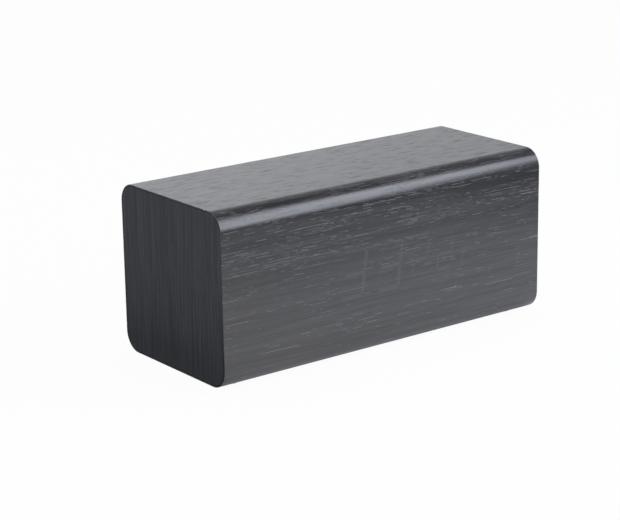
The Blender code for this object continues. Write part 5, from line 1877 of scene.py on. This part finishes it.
@dataclass
class SupplySocket:
    """The round supply socket and its pin."""

    finishes: Finishes
    nose_radius: float = 0.0038
    bore_radius: float = 0.00285
    body_radius: float = 0.0048
    pin_radius: float = 0.001
    pin_inset: float = 0.0015
    floor: float = 0.002
    shoulder: float = 0.0397
    edge: float = 0.0002

    def build(self) -> None:
        """Turn the moulded body and the pin."""
        low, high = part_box("power_socket")
        x, _, z = middle_of("power_socket")
        floor = low.y + self.floor
        profile = eased_profile([
            (0.0, floor), (self.bore_radius, floor), (self.bore_radius, high.y), (self.nose_radius, high.y),
            (self.nose_radius, self.shoulder), (self.body_radius, self.shoulder), (self.body_radius, low.y),
            (0.0, low.y),
        ], self.edge)
        place = Facing.REAR.at((x, 0.0, z))
        body = Workshop.turned("socket_body", profile, place)
        keep(body, Body.BLOCK, Slot.CHIP, ["power_socket"], self.finishes.chip)
        profile = eased_profile(disc(self.pin_radius, high.y - self.pin_inset, floor), self.edge)
        pin = Workshop.turned("socket_pin", profile, place, 32)
        keep(pin, Body.BLOCK, Slot.CONTACT, (), self.finishes.nickel)


@dataclass
class BatteryBay:
    """Three cells and the sprung contacts at their ends."""

    finishes: Finishes
    radius: float = 0.00525
    nub_radius: float = 0.0019
    nub_height: float = 0.0009
    end_edge: float = 0.0003
    film: float = 0.0001
    jacket_edge: float = 0.00045
    jacket_colours: tuple[Colour, Colour] = ((0.020, 0.022, 0.030), (0.42, 0.22, 0.07))
    strip: float = 0.0004
    strip_width: float = 0.0082
    tag_half: float = 0.0012
    wire: float = 0.0003
    turns: float = 3.0
    turn_steps: int = 28
    wire_facets: int = 10
    coil_base: float = 0.0034
    coil_tip: float = 0.0018
    coil_length: float = 0.0038
    dimple_radius: float = 0.0022
    dimple_height: float = 0.0006

    def cell(self, number: int) -> None:
        """Make one cell: a film jacket folded over its ends, with a bare base and nub.

        Args:
            number: its place in the bay, from the lowest.
        """
        node = f"battery_cell_{number}"
        low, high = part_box(node)
        x, y, z = middle_of(node)
        nub_side = 1 if number == 2 else -1
        half = (high.x - low.x) / 2
        shoulder = half - self.nub_height
        fold = self.radius - 2 * self.jacket_edge
        lip, base = shoulder + self.film, self.end_edge - half
        nub = [(0.0, half), (self.nub_radius, half), (self.nub_radius, shoulder)]
        film = [(fold, lip), (self.radius, lip), (self.radius, -half), (fold, -half), (fold, base)]
        profile = [
            *eased_profile(nub, self.end_edge), (fold, shoulder),
            *eased_profile(film, self.jacket_edge)[1:], (0.0, base),
        ]
        facing = Facing.RIGHT if nub_side > 0 else Facing.LEFT
        made = Workshop.turned(f"cell_{number}", profile, facing.at((x, y, z)))
        jacket = JacketFinish(f"cell_jacket_{number}", *self.jacket_colours, x, nub_side).material()
        made = keep(made, Body.BLOCK, Slot.JACKET, [node], jacket)
        made.data.materials.append(self.finishes.nickel)
        for face in made.data.polygons:
            out = math.hypot(face.center.y - y, face.center.z - z)
            if out < fold:
                face.material_index = 1

    def coil(self, x: float, z: float, level: float, side: int) -> bpy.types.Object:
        """A conical spring that grows narrower away from its strip.

        Args:
            x: where it is fixed, metres to the right.
            z: its axis, metres above the ground.
            level: its axis, metres behind the clock's middle.
            side: 1 if it points right and -1 if left.

        Returns:
            The spring.
        """
        program = GeometryProgram("conical_spring", {
            "Turns": self.turns, "Turn steps": self.turn_steps, "Wire facets": self.wire_facets,
            "Base radius": self.coil_base, "Tip radius": self.coil_tip,
            "Length": self.coil_length - self.wire, "Wire radius": self.wire,
            "Foot": Vector((x, level, z)), "Turn": Vector((0.0, side * math.pi / 2, 0.0)),
            "Material": self.finishes.nickel,
        })
        spiral = program.node("GeometryNodeCurveSpiral", inputs={
            "Resolution": program.size("Turn steps"), "Rotations": program.size("Turns"),
            "Start Radius": program.size("Base radius"), "End Radius": program.size("Tip radius"),
            "Height": program.size("Length"),
        })
        ring = program.node("GeometryNodeCurvePrimitiveCircle", inputs={
            "Resolution": program.size("Wire facets"), "Radius": program.size("Wire radius"),
        })
        wire = program.node("GeometryNodeCurveToMesh", inputs={
            "Curve": spiral.outputs["Curve"], "Profile Curve": ring.outputs["Curve"], "Fill Caps": True,
        })
        set_down = program.node("GeometryNodeTransform", inputs={
            "Geometry": wire.outputs["Mesh"], "Translation": program.size("Foot"),
            "Rotation": program.size("Turn"),
        })
        return program.run("coil", set_down.outputs["Geometry"])

    def contact(self, name: str, side: int, heights: Sequence[float], sprung: Sequence[bool]) -> None:
        """One contact strip with its springs, dimples and any solder tag.

        Args:
            name: the strip's node.
            side: -1 for the bay's left end and 1 for its right.
            heights: the axes of the cells that it touches, lowest first.
            sprung: for each of them, whether it has a spring; a dimple if not.
        """
        low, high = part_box(name)
        wall = low.x if side < 0 else high.x
        face = wall - side * self.strip
        level = high.y - self.strip_width / 2
        half = self.strip_width / 2
        strip_low = (min(wall, face), level - half, heights[0] - half)
        strip_high = (max(wall, face), high.y, heights[-1] + half)
        parts = [Workshop.bar("strip", strip_low, strip_high, self.strip / 5)]
        if low.y < strip_low[1] - self.strip:
            tag_low = (strip_low[0], low.y, heights[0] - self.tag_half)
            tag_high = (strip_high[0], level, heights[0] + self.tag_half)
            parts.append(Workshop.bar("tag", tag_low, tag_high, self.strip / 5))
        for z, has_spring in zip(heights, sprung):
            if has_spring:
                parts.append(self.coil(face, z, level, -side))
            else:
                dome = [(self.dimple_radius * out, self.dimple_height * up) for out, up in quarter(6)]
                facing = Facing.RIGHT if side < 0 else Facing.LEFT
                parts.append(Workshop.turned("dimple", [*dome, (0.0, 0.0)], facing.at((face, level, z)), 40))
        made = Workshop.joined(f"{name}_strip", parts)
        keep(made, Body.BLOCK, Slot.CONTACT, [name], self.finishes.nickel)

    def build(self) -> None:
        """Make the cells and their contacts."""
        for number in (1, 2, 3):
            self.cell(number)
        low, middle, high = (middle_of(f"battery_cell_{number}")[2] for number in (1, 2, 3))
        self.contact("positive_contact", -1, [low], [False])
        self.contact("cell_bridge_right", 1, [low, middle], [True, False])
        self.contact("cell_bridge_left", -1, [middle, high], [True, False])
        self.contact("negative_contact", 1, [high], [True])


@dataclass
class Insides:
    """What the block holds: boards, display, electronics and wiring."""

    finishes: Finishes

    def build(self) -> None:
        """Dress the nodes that keep their shape."""
        made = self.finishes
        sides = ("top", "bottom", "front", "rear", "left_end", "right_end")
        dress(made.fibreboard, *(f"{side}_board" for side in sides))
        dress(made.film, "diffuser_film")
        dress(made.mask, "segment_mask")
        dress(made.circuit, "display_board", "main_board")
        dress(made.chip, "driver_chip", "controller_chip", "buzzer")
        dress(made.steel, "crystal", "microphone")
        dress(made.sleeve, "capacitor")
        dress(made.ribbon, "display_ribbon")
        dress(made.red, "battery_lead_red")
        dress(made.black, "battery_lead_black")


@dataclass
class SoftBox:
    """A soft studio lamp that looks at the clock. Its angles are in degrees."""

    POWER = 4.0

    name: str
    heading: float
    elevation: float
    distance: float
    width: float
    height: float
    radiance: float
    colour: Colour = (0.86, 0.89, 1.0)
    tilt: float = 0.0
    aim: Place = (0.0, 0.0, 0.045)

    def build(self) -> None:
        """Hang the lamp; headings are degrees clockwise from the rear, seen from above."""
        heading, elevation = math.radians(self.heading), math.radians(self.elevation)
        level = math.cos(elevation)
        away = Vector((math.sin(heading) * level, math.cos(heading) * level, math.sin(elevation)))
        light = bpy.data.lights.new(self.name, "AREA")
        light.shape = "RECTANGLE"
        light.size = self.width
        light.size_y = self.height
        light.color = self.colour
        light.energy = self.radiance * self.width * self.height * self.POWER
        lamp = bpy.data.objects.new(self.name, light)
        lamp.location = Vector(self.aim) + away * self.distance
        turn = Quaternion((0.0, 0.0, 1.0), math.radians(self.tilt))
        lamp.rotation_euler = (away.to_track_quat("Z", "Y") @ turn).to_euler()
        bpy.context.scene.collection.objects.link(lamp)
        log.info("%s: lamp", self.name)


@dataclass
class Studio:
    """Pale floor, white background and soft lamps.

    The ground round the clock glows in mirrored rays alone: a painted pool of light, with a painted contact
    shadow at the clock's foot. Those rays and bounced light see the ground pale in the pool and painted
    shade elsewhere, with a painted shadow beside the left end. Each pair gives the places, in metres, where
    a grading of that painted light and shade begins and ends: the pool's reach, side_away and contact by
    the distance from the clock, the others by X. The wall's pairs are parts of a ray's direction.
    """

    floor_size: float = 8.0
    floor_tone: Colour = (0.82, 0.83, 0.85)
    # painted shade: the floor's tone for rays other than the camera's, outside the painted pool of light
    painted_shade_tone: Colour = (0.05, 0.05, 0.055)
    clock_reach: Point = (0.105, 0.0445)
    # painted pool of light round the clock, with a painted shadow beside the clock's left end
    painted_light_pool: Point = (0.32, 0.10)
    painted_light_pool_left: Point = (-0.115, -0.095)
    side_left: Point = (-0.115, -0.20)
    side_away: Point = (0.70, 0.30)
    side_share: float = 0.60
    # painted glow of the pool in mirrored rays, weaker to the right of the clock
    painted_glow: float = 1.70
    painted_glow_across: Point = (-0.10, 0.22)
    painted_glow_drop: float = 0.95
    # painted contact shadow: where the glow drops at the clock's foot, and the share of it left there
    contact: Point = (-0.002, 0.008)
    painted_contact_shadow_share: float = 0.3
    floor_white: float = 0.96
    mirrored_white: float = 0.33
    backdrop_slope: float = 1.3
    backdrop_edge: float = 0.14
    wall_right: Point = (0.46, 0.76)
    wall_right_drop: float = 0.36
    wall_top: Point = (0.24, 0.50)
    wall_top_drop: float = 0.5
    white: Colour = (1.10, 1.125, 1.17)
    dome: Colour = (0.50, 0.515, 0.54)
    dim: Colour = (0.02, 0.02, 0.022)

    def floor(self) -> None:
        """A pale floor that the camera sees as white, with a trace of the clock's shadow.

        Other rays see a painted pool of light round the clock and painted shade elsewhere.
        """
        half = self.floor_size / 2
        shape = bmesh.new()
        bmesh.ops.create_grid(shape, x_segments=8, y_segments=8, size=half)
        made = Workshop.from_bmesh("floor", shape, Matrix.Identity(4))
        shader = Shader("floor", 0.9)
        shader.surface.inputs["Specular IOR Level"].default_value = 0.0
        camera, mirrored = shader.rays()
        x, y, _ = shader.place()
        reach_x, reach_y = ((abs(axis) - reach).most(0.0) for axis, reach in zip((x, y), self.clock_reach))
        away = shader.math("SQRT", reach_x * reach_x + reach_y * reach_y)
        # Painted pool of light round the clock, with a painted shadow beside its left end and a paler painted
        # patch farther left.
        ahead = away.rise(*self.painted_light_pool) * x.rise(*self.painted_light_pool_left)
        beside = x.rise(*self.side_left) * away.rise(*self.side_away) * self.side_share
        painted_light_pool = ahead.most(beside)
        # Rays other than the camera's see painted shade outside the pool; the camera sees the pale tone
        # everywhere.
        shader.set(Base_Color=shader.mix(painted_light_pool.most(camera), self.painted_shade_tone, self.floor_tone))
        # The camera sees the floor white; mirrored rays see it glow in the painted pool, painted light from a
        # floor that is no lamp.
        glow = shader.node("ShaderNodeEmission", inputs={"Color": WHITE, "Strength": 1.0})
        both = shader.node("ShaderNodeMixShader")
        # Painted contact shadow: the glow drops towards its share at and under the clock's foot.
        contact = away.rise(*self.contact) * (1.0 - self.painted_contact_shadow_share) + self.painted_contact_shadow_share
        # Painted glow, stronger left of the clock than right of it.
        painted_glow = (self.painted_glow - x.rise(*self.painted_glow_across) * self.painted_glow_drop) * contact * self.mirrored_white
        shader.feed(both.inputs[0], camera * self.floor_white + mirrored * painted_light_pool * painted_glow)
        shader.feed(both.inputs[1], shader.surface.outputs[0])
        shader.feed(both.inputs[2], glow.outputs[0])
        shader.feed(shader.tree.nodes["Material Output"].inputs["Surface"], both.outputs[0])
        made.data.materials.append(shader.material)
        log.info("floor: %.1f m", self.floor_size)

    def world(self) -> None:
        """White for the camera; a white wall behind the clock in reflections; a soft dome for the rest."""
        world = bpy.data.worlds.new("studio")
        world.use_nodes = True
        bpy.context.scene.world = world
        graph = Graph(world.node_tree)
        across, behind, up = graph.split(graph.node("ShaderNodeTexCoord").outputs["Generated"])
        camera, mirrored = graph.rays()
        above_wall = up - behind * self.backdrop_slope
        fading = 1.0 - across.rise(*self.wall_right) * self.wall_right_drop
        fading = fading * (1.0 - up.rise(*self.wall_top) * self.wall_top_drop)
        wall = above_wall.rise(self.backdrop_edge, -self.backdrop_edge) * fading
        reflected = graph.mix(wall, self.dim, self.white)
        lit = graph.mix(mirrored, self.dome, reflected)
        background = world.node_tree.nodes["Background"]
        graph.feed(background.inputs["Color"], graph.mix(camera, lit, WHITE))

    def build(self) -> None:
        """Set up floor, world and lamps."""
        self.floor()
        self.world()
        SoftBox(
            "edge_lamp", heading=144.5, elevation=31.5, distance=0.80, width=0.74, height=0.36,
            radiance=3.1, tilt=42.0,
        ).build()
        SoftBox(
            "top_lamp", heading=20.0, elevation=84.0, distance=1.4, width=0.9, height=0.7,
            radiance=1.8, colour=(0.97, 0.98, 1.0),
        ).build()
        bpy.context.scene.view_settings.view_transform = "Standard"


@dataclass
class PhotoCamera:
    """The photograph's camera. Its heading, dip and roll are in degrees."""

    eye: Place = (-0.624868, -0.800323, 0.334446)
    heading: float = 37.1815
    dip: float = 16.2071
    roll: float = 0.8931
    lens: float = 115.157
    sensor: float = 36.0

    def build(self) -> None:
        """Place the camera and make it the scene's."""
        heading, dip = math.radians(self.heading), math.radians(self.dip)
        level = math.cos(dip)
        ahead = Vector((math.sin(heading) * level, math.cos(heading) * level, -math.sin(dip)))
        right = ahead.cross(Vector((0.0, 0.0, 1.0))).normalized()
        right.rotate(Matrix.Rotation(math.radians(self.roll), 3, ahead))
        up = right.cross(ahead)
        data = bpy.data.cameras.new("photo_camera")
        data.lens = self.lens
        data.sensor_width = self.sensor
        camera = bpy.data.objects.new("photo_camera", data)
        camera.matrix_world = Matrix.Translation(self.eye) @ Matrix((right, up, -ahead)).transposed().to_4x4()
        bpy.context.scene.collection.objects.link(camera)
        bpy.context.scene.camera = camera


def main() -> None:
    """Build the clock, the studio and the camera, and report each piece."""
    PhotoCamera().build()
    finishes = Finishes()
    VeneeredBlock(finishes).build()
    Pads(finishes).build()
    BackPlate(finishes).build()
    BatteryDoor(finishes).build()
    Buttons(finishes).build()
    AlarmSwitch(finishes).build()
    SupplySocket(finishes).build()
    BatteryBay(finishes).build()
    Insides(finishes).build()
    screw_sets = (
        ("plate_screws", "plate_screw", 4, 0.0085, Facing.REAR, finishes.black_steel),
        ("display_screws", "display_screw", 4, 0.0065, Facing.REAR, finishes.steel),
        ("board_screws", "board_screw", 2, 0.0065, Facing.FRONT, finishes.steel),
    )
    for name, node, count, length, facing, material in screw_sets:
        nodes = tuple(f"{node}_{number}" for number in range(1, count + 1))
        PanScrews(name, nodes, length, facing, material).build()
    Studio().build()


if __name__ == "__main__":
    logging.basicConfig(level=logging.INFO, format="%(name)s %(message)s")
    main()
